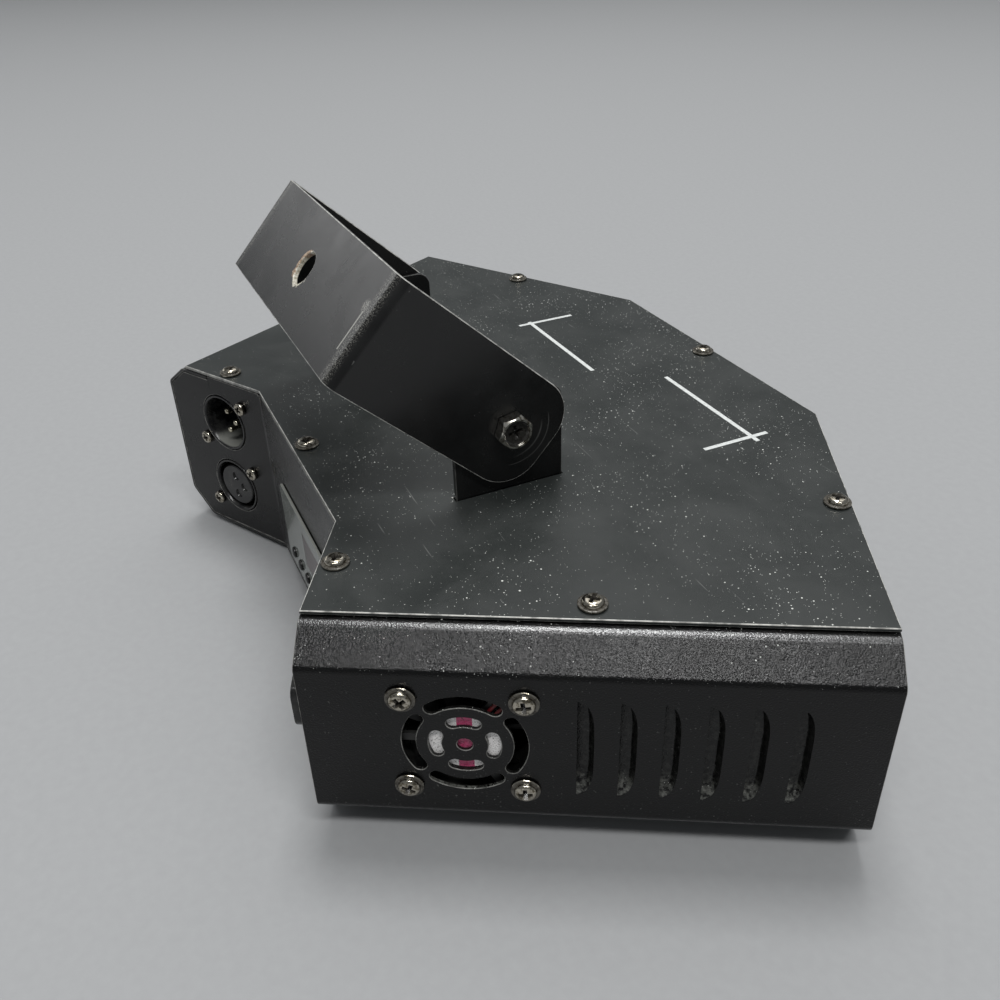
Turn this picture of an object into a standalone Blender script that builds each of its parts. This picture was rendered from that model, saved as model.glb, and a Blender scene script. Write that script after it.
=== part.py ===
# Fan-shaped scanner beam light: a boomerang-plan sheet steel housing with three window facets in front,
# a fan and louvres in each end wall, signal sockets, power inlet and menu panel at the rear,
# and a U-shaped tilt yoke on two lugs that stand through the cover.
#
# Metres, +Z up. X runs along the yoke's pivot, -Y is the front, and the origin is the middle of the
# whole outline at the height that the feet stand on. Near means the -X end, far the +X end.

import math

import bmesh
import bpy
from mathutils import Matrix, Vector

# Housing
FRONT_W = 0.1228            # front centre facet
WING_L = 0.1150             # front wing facets, up to the cover's edge
WING_ANGLE = math.radians(29.6)
DEPTH = 0.1688              # front centre facet to rear centre facet
REAR_W = 0.0982             # rear centre facet
BODY_H = 0.0705             # floor underside to cover top
SHEET = 0.0012              # steel sheet
BEND_INNER_R = 0.0004       # inner radius of the end wall's folds
GAP = 0.0003                # assembly gap between touching faces

# End walls, outside the cover's edge
END_OUT = 0.0124            # edge of the cover to the outer face
LIP_OUT = 0.0024            # flat lip outside the cover's edge
LIP_IN = 0.0120             # lip under the cover
TOP_CHAMFER_H = 0.0077
BOTTOM_CHAMFER_H = 0.0105
FLANGE = 0.0100             # inward flanges of the front and rear panels
FLANGE_RELIEF = 0.0030      # corner relief of each flange

# Feet
FOOT_H = 0.0030
FOOT_R = 0.0070
FOOT_EDGE = 0.0160          # foot centre inside the housing's edges
FOOT_BEVEL = 0.0005

# Washer head screws of cover and fans
SCREW_WASHER_R = 0.0041
SCREW_WASHER_H = 0.0007
SCREW_HEAD_R = 0.0031
SCREW_HEAD_H = 0.0021
SCREW_SHANK_R = 0.0015
SCREW_HOLE_CLEAR = 0.0004   # radial clearance of a shank in its hole
COVER_SCREW_PAST = 0.0012   # screw end below the sheets that it holds
FAN_SCREW_PAST = 0.0015     # screw end beyond the fan
SCREW_IN_FRONT = 0.0043     # screw centre inside the cover's front edges
SCREW_BEHIND_SOCKET = 0.0003    # rear screws behind the socket flanges
SCREW_IN_END = 0.0059

# Cross recess of a screw, as shares of its head's radius and height
RECESS_W = 0.28
RECESS_REACH = 0.60
RECESS_FLOOR = 0.35
CROWN_R = 0.60              # flat of the head

# Fans
FAN_SIZE = 0.0400
FAN_DEPTH = 0.0100
FAN_FROM_REAR = 0.0434      # fan centre to the end wall's rear edge
FAN_ABOVE_MID = 0.0009      # fan centre above the middle of the end wall's flat
FAN_SCREW_IN = 0.0040       # screw centres inside the fan's edges
FAN_WALL = 0.0012           # thinnest wall round the bore
FAN_CORNER_R = 0.0030
FAN_HUB_R = 0.0100
FAN_HUB_T = 0.0017
FAN_SHAFT_R = 0.0015
FAN_SHAFT_IN = 0.0020       # shaft end inside the frame's inner face
FAN_STRUTS = 3
FAN_STRUT_W = 0.0026
FAN_STRUT_IN = 0.0002       # struts inside both faces of the hub plate
FAN_BLADES = 7
FAN_TIP_CLEAR = 0.0010
BLADE_CHORD = 0.0076
BLADE_T = 0.0010
BLADE_PITCH = math.radians(38)
BLADE_ROOT_IN = 0.0015      # blade root inside the turning hub
ROTOR_FLOOR = 0.0012
ROTOR_HUB_IN = 0.0005       # turning hub inside the fixed hub's edge

# Grille cut in the end wall in front of each fan: two rings of four slots and a centre hole
GRILLE_RIM = 0.0018         # outer slots inside the fan's bore
GRILLE_OUTER_W = 0.0038
GRILLE_OUTER_HALF = math.radians(41)
GRILLE_INNER_IN = 0.0002    # inner slots inside the fixed hub's edge
GRILLE_INNER_W = 0.0035
GRILLE_INNER_HALF = math.radians(34)
GRILLE_CENTRE_R = 0.00215

# Louvres
LOUVRE_COUNT = 6
LOUVRE_FROM_FAN = 0.0296    # straight edge of the first louvre to the fan's centre
LOUVRE_FROM_FRONT = 0.02435  # straight edge of the last louvre to the end wall's front edge
LOUVRE_W = 0.0045
LOUVRE_H = 0.0345
LOUVRE_ABOVE_MID = 0.0006   # middle above the middle of the end wall's flat
LOUVRE_DEPTH = 0.0040
LOUVRE_STEPS = 6            # facets along a louvre's curve

# Front windows and the optics behind them
WINDOW_R = 0.0190
WINDOW_PITCH = 0.0560
GLASS_LAP = 0.0030          # glass beyond the windows
GLASS_T = 0.0020
AXIS_IN = 0.0220            # mirror axis behind the panel's outer face
MIRROR_PAST = 0.0055        # mirror beyond the middle of each beam
MIRROR_W = 0.0120
MIRROR_T = 0.0015
MIRROR_BELOW_AXIS = 0.0012
MIRROR_LEAN = math.radians(-45)
SHAFT_R = 0.0015
SHAFT_IN_MOTOR = 0.0050
RUN_CLEAR = 0.0001          # radial clearance of a shaft in its bearing
BRACKET_CLEAR = 0.0040      # bracket uprights beyond the mirror
BRACKET_W = 0.0180
BRACKET_T = 0.0015
BRACKET_TOP = 0.0080        # bracket uprights above the mirror axis
MOTOR_R = 0.0100
MOTOR_L = 0.0110
LASER_BAR_H = 0.0140
LASER_BAR_W = 0.0150
LASER_BAR_EDGE = 0.0020     # bar beyond the barrels
LASER_BARREL_R = 0.0055
LASER_BARREL_L = 0.0070
LASER_APERTURE_R = 0.0025
LASER_APERTURE_D = 0.0040
LASER_FINS = 5
LASER_GROOVE_W = 0.0040
LASER_GROOVE_D = 0.0050

# Signal sockets
SOCKET_HOLE_R = 0.0120
SOCKET_CLEAR = 0.0004       # radial clearance of a barrel in its hole
SOCKET_FROM_BEND = 0.0245   # socket centres to the bend of the rear panel
SOCKET_ABOVE_MID = 0.0004   # middle of the pair above the middle of the panel
SOCKET_APART = 0.0041       # between the two flanges
SOCKET_SCREW_DROP = 0.0025  # screws nearer the middle across than along the socket
SOCKET_FLANGE_EDGE = 0.0030
SOCKET_FLANGE_T = 0.0017
SOCKET_FLANGE_R = 0.0020
SOCKET_WALL = 0.0013
SOCKET_L = 0.0200
SOCKET_FLOOR = 0.0050
PIN_R = 0.0012
PIN_CIRCLE_R = 0.0041
PIN_IN = 0.0020             # pin tips inside the barrel's edge
INSERT_GAP = 0.0015         # round the insert of the hole socket
INSERT_IN = 0.0006
PIN_HOLE_R = 0.0015
PIN_HOLE_D = 0.0080
SOCKET_SCREW_HEAD_R = 0.0026
SOCKET_SCREW_HEAD_H = 0.0015
SOCKET_SCREW_SHANK_R = 0.0013
SOCKET_SCREW_L = 0.0060

# Power inlet
INLET_ABOVE_MID = 0.00875   # middle above the middle of the panel
INLET_BODY_W = 0.0270
INLET_BODY_H = 0.0200
INLET_BODY_D = 0.0190
INLET_BODY_CLEAR = 0.0004
INLET_EAR_L = 0.0110        # flange beyond the body, with a screw hole
INLET_EAR_H = 0.0120
INLET_FLANGE_EDGE = 0.0015  # flange above and below the body
INLET_FLANGE_T = 0.0028
INLET_SIDE_WALL = 0.0015
INLET_TOP_WALL = 0.0020
INLET_MOUTH_D = 0.0160
INLET_MOUTH_CORNER = 0.0040
INLET_BLADE_W = 0.0020
INLET_BLADE_H = 0.0040
INLET_BLADE_L = 0.0130
INLET_BLADE_X = 0.0070
INLET_BLADE_Y = -0.0022
INLET_EARTH_Y = 0.0020
INLET_SCREW_OUT = 0.0065    # screw hole beyond the body
INLET_SCREW_R = 0.0017

# Menu panel
OVERLAY_W = 0.0640
OVERLAY_H = 0.0330
OVERLAY_T = 0.0010
OVERLAY_MID = 0.0243        # middle above the floor underside
OVERLAY_CORNER_R = 0.0030
DISPLAY_W = 0.0300
DISPLAY_H = 0.0140
DISPLAY_X = 0.0130          # along the facet, seen from behind the light
DISPLAY_Z = 0.0285
DISPLAY_D = 0.0070
DISPLAY_CLEAR = 0.0003
BUTTON_COUNT = 4
BUTTON_PITCH = 0.0093
BUTTON_FIRST_X = -0.0213
BUTTON_Z = 0.0148
BUTTON_R = 0.0021
BUTTON_CLEAR = 0.0003
BUTTON_PROUD = 0.0012
BUTTON_DOME_H = 0.0006
BUTTON_COLLAR_W = 0.0009    # collar beyond the button
BUTTON_COLLAR_H = 0.0010
BUTTON_TRAVEL = 0.0005
SWITCH_SIZE = 0.0060
SWITCH_H = 0.0035
BOARD_W = 0.0700
BOARD_H = 0.0400
BOARD_T = 0.0016
BOARD_POST_R = 0.0025
BOARD_POST_IN = 0.0040

# Power board: transformer, heat sink and a row of capacitors
POWER_W = 0.0800
POWER_D = 0.0600
POWER_LIFT = 0.0050
POWER_FROM_FRONT = 0.0900
TRANSFORMER_W = 0.0280
TRANSFORMER_D = 0.0240
TRANSFORMER_H = 0.0220
SINK_X = 0.0255
SINK_W = 0.0030
SINK_D = 0.0440
SINK_H = 0.0260
CAPACITOR_X = -0.0270
CAPACITOR_R = 0.0055
CAPACITOR_H = 0.0200
CAPACITOR_PITCH = 0.0160

# Yoke, its lugs and bolts
LUG_X = 0.0557              # outer face of each lug
LUG_T = 0.0020
LUG_W = 0.0360
LUG_TOP = 0.0105            # lug above the pivot
LUG_FROM_REAR = 0.0545      # middle of the lugs to the rear centre facet
LUG_FOOT = 0.0160
LUG_CORNER_R = 0.0050
NUT_WALL = 0.0021
NUT_H = 0.0040
SLOT_CLEAR = 0.0004
PIVOT_H = 0.0215            # above the cover
YOKE_T = 0.0016
YOKE_W = 0.0354
YOKE_L = 0.0572             # pivot to the outer face of the base
YOKE_TAIL = 0.0152          # arm beyond the pivot
YOKE_TAIL_R = 0.0125
YOKE_BEND_R = 0.0040
YOKE_TILT = math.radians(42.8)
YOKE_HOLE_R = 0.0055
BOLT_R = 0.0029
BOLT_HOLE_CLEAR = 0.0004
BOLT_HEAD_AF = 0.0100
BOLT_HEAD_H = 0.0040
BOLT_CROWN = 0.25           # crowned share of the head's height
BOLT_RECESS_W = 0.0012
BOLT_RECESS_REACH = 0.0028
BOLT_END = 0.0015           # beyond the nut

# Sides of round shapes
WINDOW_SIDES = 48
ROUND_SIDES = 24
HUB_SIDES = 16
SCREW_SIDES = 10

UP = Vector((0, 0, 1))
OUTWARD = Vector((-math.cos(WING_ANGLE), math.sin(WING_ANGLE)))     # along the near wing
REARWARD = Vector((math.sin(WING_ANGLE), math.cos(WING_ANGLE)))     # across the near wing

# Sizes that follow from the ones above
INSET = SHEET + GAP
PANEL_LOW = INSET
PANEL_HIGH = BODY_H - INSET
PANEL_MID = BODY_H / 2
FLAT_MID = (BOTTOM_CHAMFER_H + PANEL_HIGH - TOP_CHAMFER_H) / 2
CUT = 2 * SHEET             # reach of a cutter behind a sheet
SCREW_HOLE_R = SCREW_SHANK_R + SCREW_HOLE_CLEAR
COVER_SCREW_L = 2 * SHEET + GAP + COVER_SCREW_PAST
SCREW_IN_REAR = INSET + SOCKET_FLANGE_T + SCREW_BEHIND_SOCKET + SCREW_SHANK_R
FAN_PITCH = FAN_SIZE - 2 * FAN_SCREW_IN
FAN_BORE_R = FAN_SIZE / 2 - FAN_WALL
FAN_Z = FLAT_MID + FAN_ABOVE_MID
LOUVRE_Z = FLAT_MID + LOUVRE_ABOVE_MID
MIRROR_L = WINDOW_PITCH + 2 * MIRROR_PAST
BRACKET_L = MIRROR_L + 2 * (BRACKET_CLEAR + BRACKET_T)
SOCKET_BARREL_R = SOCKET_HOLE_R - SOCKET_CLEAR
SOCKET_SCREW_X = SOCKET_HOLE_R
SOCKET_SCREW_Y = SOCKET_HOLE_R - SOCKET_SCREW_DROP
SOCKET_FLANGE_W = 2 * (SOCKET_SCREW_X + SOCKET_FLANGE_EDGE)
SOCKET_FLANGE_H = 2 * (SOCKET_SCREW_Y + SOCKET_FLANGE_EDGE)
SOCKET_PITCH = SOCKET_FLANGE_H + SOCKET_APART
INLET_FLANGE_L = INLET_BODY_W + 2 * INLET_EAR_L
LUG_Y = DEPTH - LUG_FROM_REAR
BOLT_HOLE_R = BOLT_R + BOLT_HOLE_CLEAR
NUT_R = BOLT_R + NUT_WALL

# Plan corners of the near half, before the move to the middle of the outline
C = Vector((-FRONT_W / 2, 0))
B = C + WING_L * OUTWARD
H = Vector((-REAR_W / 2, DEPTH))
REAR_WING_L = (B - H).dot(OUTWARD)
A = H + REAR_WING_L * OUTWARD
A_OUT = A + END_OUT * OUTWARD
B_OUT = B + END_OUT * OUTWARD
END_L = (A - B).dot(REARWARD)
REAR_FACET_L = REAR_WING_L + END_OUT
INLET_REACH = REAR_FACET_L / 2 + INLET_FLANGE_L / 2
REAR_Y = (H + INLET_REACH * OUTWARD + (GAP + INLET_FLANGE_T) * REARWARD).y
MIDDLE = Vector((0, REAR_Y / 2))
LOUVRE_ROW_L = END_L - FAN_FROM_REAR - LOUVRE_FROM_FAN - LOUVRE_FROM_FRONT
LOUVRE_PITCH = LOUVRE_ROW_L / (LOUVRE_COUNT - 1)

FLOOR_Z = FOOT_H
COVER_Z = FOOT_H + BODY_H
UNDER_COVER_Z = COVER_Z - INSET


def mirrored(point):
    return Vector((-point.x, point.y))


class Facet:
    """One flat side of the housing between two plan corners, which run left to right seen from outside.

    tip is the end that the end wall's depth is added to: -1 left, 1 right, 0 none.
    edge_in is the distance from the facet's face to the line of the cover's screws.
    """

    def __init__(self, start, end, tip=0, edge_in=0.0):
        right = (end - start).normalized().to_3d()
        middle = (start + end) / 2 - MIDDLE
        turn = Matrix((right, UP, right.cross(UP))).transposed().to_4x4()
        self.frame = Matrix.Translation((middle.x, middle.y, FLOOR_Z)) @ turn
        self.half = (end - start).length / 2
        self.tip = tip
        self.edge_mid = -tip * END_OUT / 2
        self.edge_in = edge_in


FRONT_CENTRE = Facet(C, mirrored(C), 0, SCREW_IN_FRONT)
FRONT_NEAR = Facet(B_OUT, C, -1, SCREW_IN_FRONT)
FRONT_FAR = Facet(mirrored(C), mirrored(B_OUT), 1, SCREW_IN_FRONT)
REAR_CENTRE = Facet(mirrored(H), H, 0, SCREW_IN_REAR)
REAR_NEAR = Facet(H, A_OUT, 1, SCREW_IN_REAR)
REAR_FAR = Facet(mirrored(A_OUT), mirrored(H), -1, SCREW_IN_REAR)
END_NEAR = Facet(A_OUT, B_OUT, 0, END_OUT + SCREW_IN_END)
END_FAR = Facet(mirrored(B_OUT), mirrored(A_OUT), 0, END_OUT + SCREW_IN_END)
FRONT = (FRONT_CENTRE, FRONT_NEAR, FRONT_FAR)
REAR = (REAR_CENTRE, REAR_NEAR, REAR_FAR)
ENDS = {"near": (END_NEAR.frame, -1), "far": (END_FAR.frame, 1)}
WINDOWED = {"centre": FRONT_CENTRE, "near": FRONT_NEAR, "far": FRONT_FAR}


def material(name, colour, roughness, metallic, alpha=1.0):
    made = bpy.data.materials.new(name)
    made.use_nodes = True
    shader = made.node_tree.nodes["Principled BSDF"]
    shader.inputs["Base Color"].default_value = (*colour, 1.0)
    shader.inputs["Roughness"].default_value = roughness
    shader.inputs["Metallic"].default_value = metallic
    shader.inputs["Alpha"].default_value = alpha
    return made


def moved(matrix, x=0.0, y=0.0, z=0.0):
    return matrix @ Matrix.Translation((x, y, z))


def across(matrix):
    """The same place with its Z axis turned to run along the facet's X."""
    return matrix @ Matrix.Rotation(math.pi / 2, 4, "Y")


def upright(matrix):
    """The same place with its Z axis turned to point up the facet."""
    return matrix @ Matrix.Rotation(-math.pi / 2, 4, "X")


def add_box(bm, x, y, z, matrix=None):
    """A box between the low and high values of each axis."""
    size = Vector((x[1] - x[0], y[1] - y[0], z[1] - z[0]))
    middle = Vector((x[0] + x[1], y[0] + y[1], z[0] + z[1])) / 2
    place = Matrix.Translation(middle) @ Matrix.Diagonal((*size, 1.0))
    bmesh.ops.create_cube(bm, size=1.0, matrix=(matrix or Matrix()) @ place)


def add_slab(bm, width, height, low, high, matrix=None):
    """A box centred on its place, between two heights."""
    add_box(bm, (-width / 2, width / 2), (-height / 2, height / 2), (low, high), matrix)


def add_cylinder(bm, radius, low, high, matrix=None, segments=12, top=None):
    place = (matrix or Matrix()) @ Matrix.Translation((0, 0, (low + high) / 2))
    bmesh.ops.create_cone(bm, cap_ends=True, segments=segments, radius1=radius,
                          radius2=radius if top is None else top, depth=high - low, matrix=place)


def add_prism(bm, outline, low, high, matrix=None):
    """A flat outline in X and Y, counter-clockwise, filled between two heights."""
    base_verts = [bm.verts.new((x, y, low)) for x, y in outline]
    base = bm.faces.new(base_verts)
    raised = bmesh.ops.extrude_face_region(bm, geom=[base])["geom"]
    top_verts = [item for item in raised if isinstance(item, bmesh.types.BMVert)]
    bmesh.ops.translate(bm, verts=top_verts, vec=(0, 0, high - low))
    verts = base_verts + top_verts
    faces = {face for vert in verts for face in vert.link_faces}
    bmesh.ops.recalc_face_normals(bm, faces=list(faces))
    bmesh.ops.transform(bm, matrix=matrix or Matrix(), verts=verts)


def add_turned(bm, profile, segments=12):
    """A closed solid turned round Z from radius and height points that start and end on the axis."""
    verts = [bm.verts.new((r, 0, z)) for r, z in profile]
    edges = [bm.edges.new(pair) for pair in zip(verts, verts[1:])]
    bmesh.ops.spin(bm, geom=verts + edges, cent=(0, 0, 0), axis=(0, 0, 1),
                   angle=2 * math.pi, steps=segments, use_merge=True)
    bmesh.ops.remove_doubles(bm, verts=bm.verts, dist=1e-6)
    bmesh.ops.recalc_face_normals(bm, faces=bm.faces)


def add_cross(bm, width, reach, low, high, matrix=None):
    """The two bars of a cross recess as one outline."""
    half = width / 2
    arm = [Vector((half, half)), Vector((half, reach)), Vector((-half, reach))]
    outline = [Matrix.Rotation(turn * math.pi / 2, 2) @ point for turn in range(4) for point in arm]
    add_prism(bm, outline, low, high, matrix)


def arc(x, y, radius, first, last, steps):
    """Points along a circular arc round x and y, both ends included."""
    angles = [first + (last - first) * step / steps for step in range(steps + 1)]
    return [(x + radius * math.cos(a), y + radius * math.sin(a)) for a in angles]


def rounded_box(width, height, radius, steps=3):
    """Outline of a rectangle with round corners."""
    outline = []
    for turn, (side, level) in enumerate(((1, 1), (-1, 1), (-1, -1), (1, -1))):
        outline += arc(side * (width / 2 - radius), level * (height / 2 - radius), radius,
                       turn * math.pi / 2, (turn + 1) * math.pi / 2, steps)
    return outline


def arc_slot(outer, width, middle, half, steps=5, end_steps=3):
    """Outline of an arc-shaped slot with round ends."""
    cap = width / 2
    mean = outer - cap
    reach = half - cap / mean
    first = middle - reach
    last = middle + reach
    outline = arc(0, 0, outer, first, last, steps)
    outline += arc(mean * math.cos(last), mean * math.sin(last), cap, last, last + math.pi, end_steps)[1:-1]
    outline += arc(0, 0, outer - width, last, first, steps)
    outline += arc(mean * math.cos(first), mean * math.sin(first), cap,
                   first + math.pi, first + 2 * math.pi, end_steps)[1:-1]
    return outline


def rounded_path(points, radius, steps=3):
    """A polyline whose inner corners are arcs of one radius."""
    path = [points[0]]
    for before, corner, after in zip(points, points[1:], points[2:]):
        a = (before - corner).normalized()
        b = (after - corner).normalized()
        half = a.angle(b) / 2
        run = radius / math.tan(half)
        centre = corner + (a + b).normalized() * radius / math.sin(half)
        start = corner + a * run - centre
        finish = corner + b * run - centre
        turn = start.angle_signed(finish)
        for step in range(steps + 1):
            spin = Matrix.Rotation(-turn * step / steps, 2)
            path.append(centre + spin @ start)
    path.append(points[-1])
    return path


def inset_corners(points, distance):
    """The inner corners of a polyline moved to its left by a distance."""
    corners = []
    for before, corner, after in zip(points, points[1:], points[2:]):
        first = (corner - before).orthogonal().normalized()
        second = (after - corner).orthogonal().normalized()
        corners.append(corner + distance * (first + second) / (1 + first.dot(second)))
    return corners


def finish(name, bm, paint, matrix=None, smooth=False):
    """Turn a bmesh into a named object at its place."""
    mesh = bpy.data.meshes.new(name)
    bm.to_mesh(mesh)
    bm.free()
    mesh.materials.append(paint)
    if smooth:
        mesh.shade_smooth()
        mesh.set_sharp_from_angle(angle=math.radians(35))
    made = bpy.data.objects.new(name, mesh)
    made.matrix_world = matrix or Matrix()
    bpy.context.scene.collection.objects.link(made)
    return made


def combine(host, name, bm, operation, matrix=None):
    """Cut or join the shapes in a bmesh to an object, with a hidden helper."""
    mesh = bpy.data.meshes.new(name)
    bm.to_mesh(mesh)
    bm.free()
    helper = bpy.data.objects.new(name, mesh)
    helper.matrix_world = matrix or Matrix()
    helper.hide_render = True
    helper.display_type = "WIRE"
    bpy.context.scene.collection.objects.link(helper)
    step = host.modifiers.new(name, "BOOLEAN")
    step.operation = operation
    step.solver = "EXACT"
    step.object = helper


def fold(host):
    """Give an open skin its sheet thickness, inwards."""
    step = host.modifiers.new("sheet", "SOLIDIFY")
    step.thickness = SHEET
    step.solidify_mode = "NON_MANIFOLD"
    step.nonmanifold_thickness_mode = "CONSTRAINTS"
    step.nonmanifold_boundary_mode = "NONE"
    step.offset = -1


def end_rise():
    """Outer line of the end wall in distance out from the cover's edge and height above the floor."""
    return [Vector((0, 0)), Vector((LIP_OUT, 0)), Vector((END_OUT, BOTTOM_CHAMFER_H)),
            Vector((END_OUT, PANEL_HIGH - TOP_CHAMFER_H)), Vector((LIP_OUT, PANEL_HIGH)),
            Vector((-LIP_IN, PANEL_HIGH))]


def fan_x(hand):
    return hand * (END_L / 2 - FAN_FROM_REAR)


def louvre_x(hand, index):
    """The straight edge of a louvre along its end wall."""
    return fan_x(hand) - hand * (LOUVRE_FROM_FAN + index * LOUVRE_PITCH)


def louvre_width(height):
    """Width of a louvre at a height from its middle: a D with round corners."""
    share = min(1.0, abs(2 * height / LOUVRE_H))
    return LOUVRE_W * math.sqrt(1 - share ** 4)


def louvre_outline(hand, index):
    """Cut of a louvre, counter-clockwise, straight on the side of the fan."""
    edge = louvre_x(hand, index)
    heights = [LOUVRE_H * (step / LOUVRE_STEPS - 0.5) for step in range(LOUVRE_STEPS + 1)]
    outline = [(edge - hand * louvre_width(height), LOUVRE_Z + height) for height in heights]
    corner = 0.46 * LOUVRE_H
    outline += [(edge, LOUVRE_Z + corner), (edge, LOUVRE_Z - corner)]
    return outline[::-1] if hand > 0 else outline


def make_bottom_tray(paint):
    """Floor and both end walls folded from one sheet, with grilles and louvres."""
    bm = bmesh.new()
    plan = [H, A, B, C]
    plan += [mirrored(point) for point in reversed(plan)]
    floor = [bm.verts.new((point - MIDDLE).to_3d() + FLOOR_Z * UP) for point in plan]
    bm.faces.new(floor[::-1])
    rise = rounded_path(end_rise(), SHEET + BEND_INNER_R)
    for row, out in ((floor[1:3], OUTWARD), (floor[5:7], mirrored(OUTWARD))):
        foot = [vert.co.copy() for vert in row]
        for point in rise[1:]:
            step = [bm.verts.new(start + point.x * out.to_3d() + point.y * UP) for start in foot]
            bm.faces.new((row[0], row[1], step[1], step[0]))
            row = step
    tray = finish("bottom_tray", bm, paint)
    fold(tray)

    holes = bmesh.new()
    rings = ((FAN_BORE_R - GRILLE_RIM, GRILLE_OUTER_W, GRILLE_OUTER_HALF),
             (FAN_HUB_R - GRILLE_INNER_IN, GRILLE_INNER_W, GRILLE_INNER_HALF))
    for frame, hand in ENDS.values():
        middle = moved(frame, fan_x(hand), FAN_Z)
        for quarter in range(4):
            for outer, width, half in rings:
                add_prism(holes, arc_slot(outer, width, quarter * math.pi / 2, half), -CUT, SHEET, middle)
            add_cylinder(holes, SCREW_HOLE_R, -CUT, SHEET, moved(middle, *fan_corner(quarter)), SCREW_SIDES)
        add_cylinder(holes, GRILLE_CENTRE_R, -CUT, SHEET, middle)
        for index in range(LOUVRE_COUNT):
            add_prism(holes, louvre_outline(hand, index), -CUT, SHEET, frame)
        lip = moved(upright(frame), 0, END_OUT + SCREW_IN_END, PANEL_HIGH)
        add_cylinder(holes, SCREW_HOLE_R, -CUT, SHEET, lip, SCREW_SIDES)
    combine(tray, "tray_holes", holes, "DIFFERENCE")

    scoops = bmesh.new()
    for frame, hand in ENDS.values():
        for index in range(LOUVRE_COUNT):
            add_scoop(scoops, moved(frame, louvre_x(hand, index), LOUVRE_Z), -hand)
    combine(tray, "tray_scoops", scoops, "UNION")


def add_scoop(bm, matrix, turn, rows=LOUVRE_STEPS, columns=3):
    """The pressed-in metal of one louvre, open at its straight edge, turned to the side that turn names."""
    grids = []
    sink = SHEET / 8
    for level in (0.0, 2 * sink - SHEET):
        grid = []
        for row in range(rows + 1):
            height = 0.99 * LOUVRE_H * (row / rows - 0.5)
            width = louvre_width(height)
            line = []
            for column in range(columns + 1):
                share = column / columns
                reach = (width + 2 * sink) * (1 - share)
                dip = (LOUVRE_DEPTH - SHEET) * width / LOUVRE_W * math.sin(share * math.pi / 2)
                line.append(bm.verts.new((turn * reach, height, level - sink - dip)))
            grid.append(line)
        grids.append(grid)
    faces = []
    for grid in grids:
        for low, high in zip(grid, grid[1:]):
            for column in range(columns):
                faces.append(bm.faces.new((low[column], low[column + 1], high[column + 1], high[column])))
    rims = [grid[0] + [line[-1] for line in grid[1:]] + grid[-1][-2::-1] + [line[0] for line in grid[-2:0:-1]]
            for grid in grids]
    count = len(rims[0])
    for index in range(count):
        after = (index + 1) % count
        faces.append(bm.faces.new((rims[0][index], rims[0][after], rims[1][after], rims[1][index])))
    bmesh.ops.recalc_face_normals(bm, faces=faces)
    bmesh.ops.transform(bm, matrix=matrix, verts=list({vert for face in faces for vert in face.verts}))


def add_facet(bm, side):
    """One facet's skin with its top and bottom flanges, worked out with any tip to the right."""
    hand = -1 if side.tip < 0 else 1

    def add_face(points):
        verts = [bm.verts.new(side.frame @ Vector((hand * x, y, z))) for x, y, z in points]
        bm.faces.new(verts[::hand])

    low = FLANGE_RELIEF - side.half
    high = -low
    end = [(side.half, PANEL_LOW), (side.half, PANEL_HIGH)]
    if side.tip:
        edge = side.half - END_OUT
        under_lip = edge - LIP_IN - GAP
        high = under_lip - GAP
        end = [(edge + point.x, point.y) for point in inset_corners(end_rise(), INSET)]
        end += [(under_lip, end[-1][1]), (under_lip, PANEL_HIGH)]
    skin = [(-side.half, PANEL_LOW), (low, PANEL_LOW), (high, PANEL_LOW)] + end
    skin += [(high, PANEL_HIGH), (low, PANEL_HIGH), (-side.half, PANEL_HIGH)]
    add_face([(x, y, 0) for x, y in skin])
    for level, turn in ((PANEL_HIGH, 1), (PANEL_LOW, -1)):
        flange = [(low, level, 0), (high, level, 0), (high - FLANGE_RELIEF, level, -FLANGE),
                  (low + FLANGE_RELIEF, level, -FLANGE)]
        add_face(flange[::turn])


def make_panel(name, paint, sides):
    """A folded strip of three facets, and the cutter that its holes are added to."""
    bm = bmesh.new()
    for side in sides:
        add_facet(bm, side)
    bmesh.ops.remove_doubles(bm, verts=bm.verts, dist=1e-6)
    panel = finish(name, bm, paint)
    fold(panel)
    holes = bmesh.new()
    for side in sides:
        place = moved(upright(side.frame), side.edge_mid, side.edge_in, PANEL_HIGH)
        add_cylinder(holes, SCREW_HOLE_R, -CUT, SHEET, place, SCREW_SIDES)
    return panel, holes


def make_front_panel(paint):
    """Three facets with two round windows each."""
    panel, holes = make_panel("front_panel", paint, FRONT)
    for side in FRONT:
        for hand in (-1, 1):
            place = moved(side.frame, side.edge_mid + hand * WINDOW_PITCH / 2, PANEL_MID)
            add_cylinder(holes, WINDOW_R, -CUT, SHEET, place, WINDOW_SIDES)
    combine(panel, "front_holes", holes, "DIFFERENCE")


def socket_frames():
    """Places of the signal sockets, the pin socket above the hole socket."""
    x = REAR_FACET_L / 2 - SOCKET_FROM_BEND
    middle = PANEL_MID + SOCKET_ABOVE_MID
    return {"dmx_in": moved(REAR_FAR.frame, x, middle + SOCKET_PITCH / 2),
            "dmx_out": moved(REAR_FAR.frame, x, middle - SOCKET_PITCH / 2)}


def inlet_frame():
    return moved(REAR_NEAR.frame, 0, PANEL_MID + INLET_ABOVE_MID)


def button_frames():
    return [moved(REAR_CENTRE.frame, BUTTON_FIRST_X + index * BUTTON_PITCH, BUTTON_Z)
            for index in range(BUTTON_COUNT)]


def display_frame():
    return moved(REAR_CENTRE.frame, DISPLAY_X, DISPLAY_Z)


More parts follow.
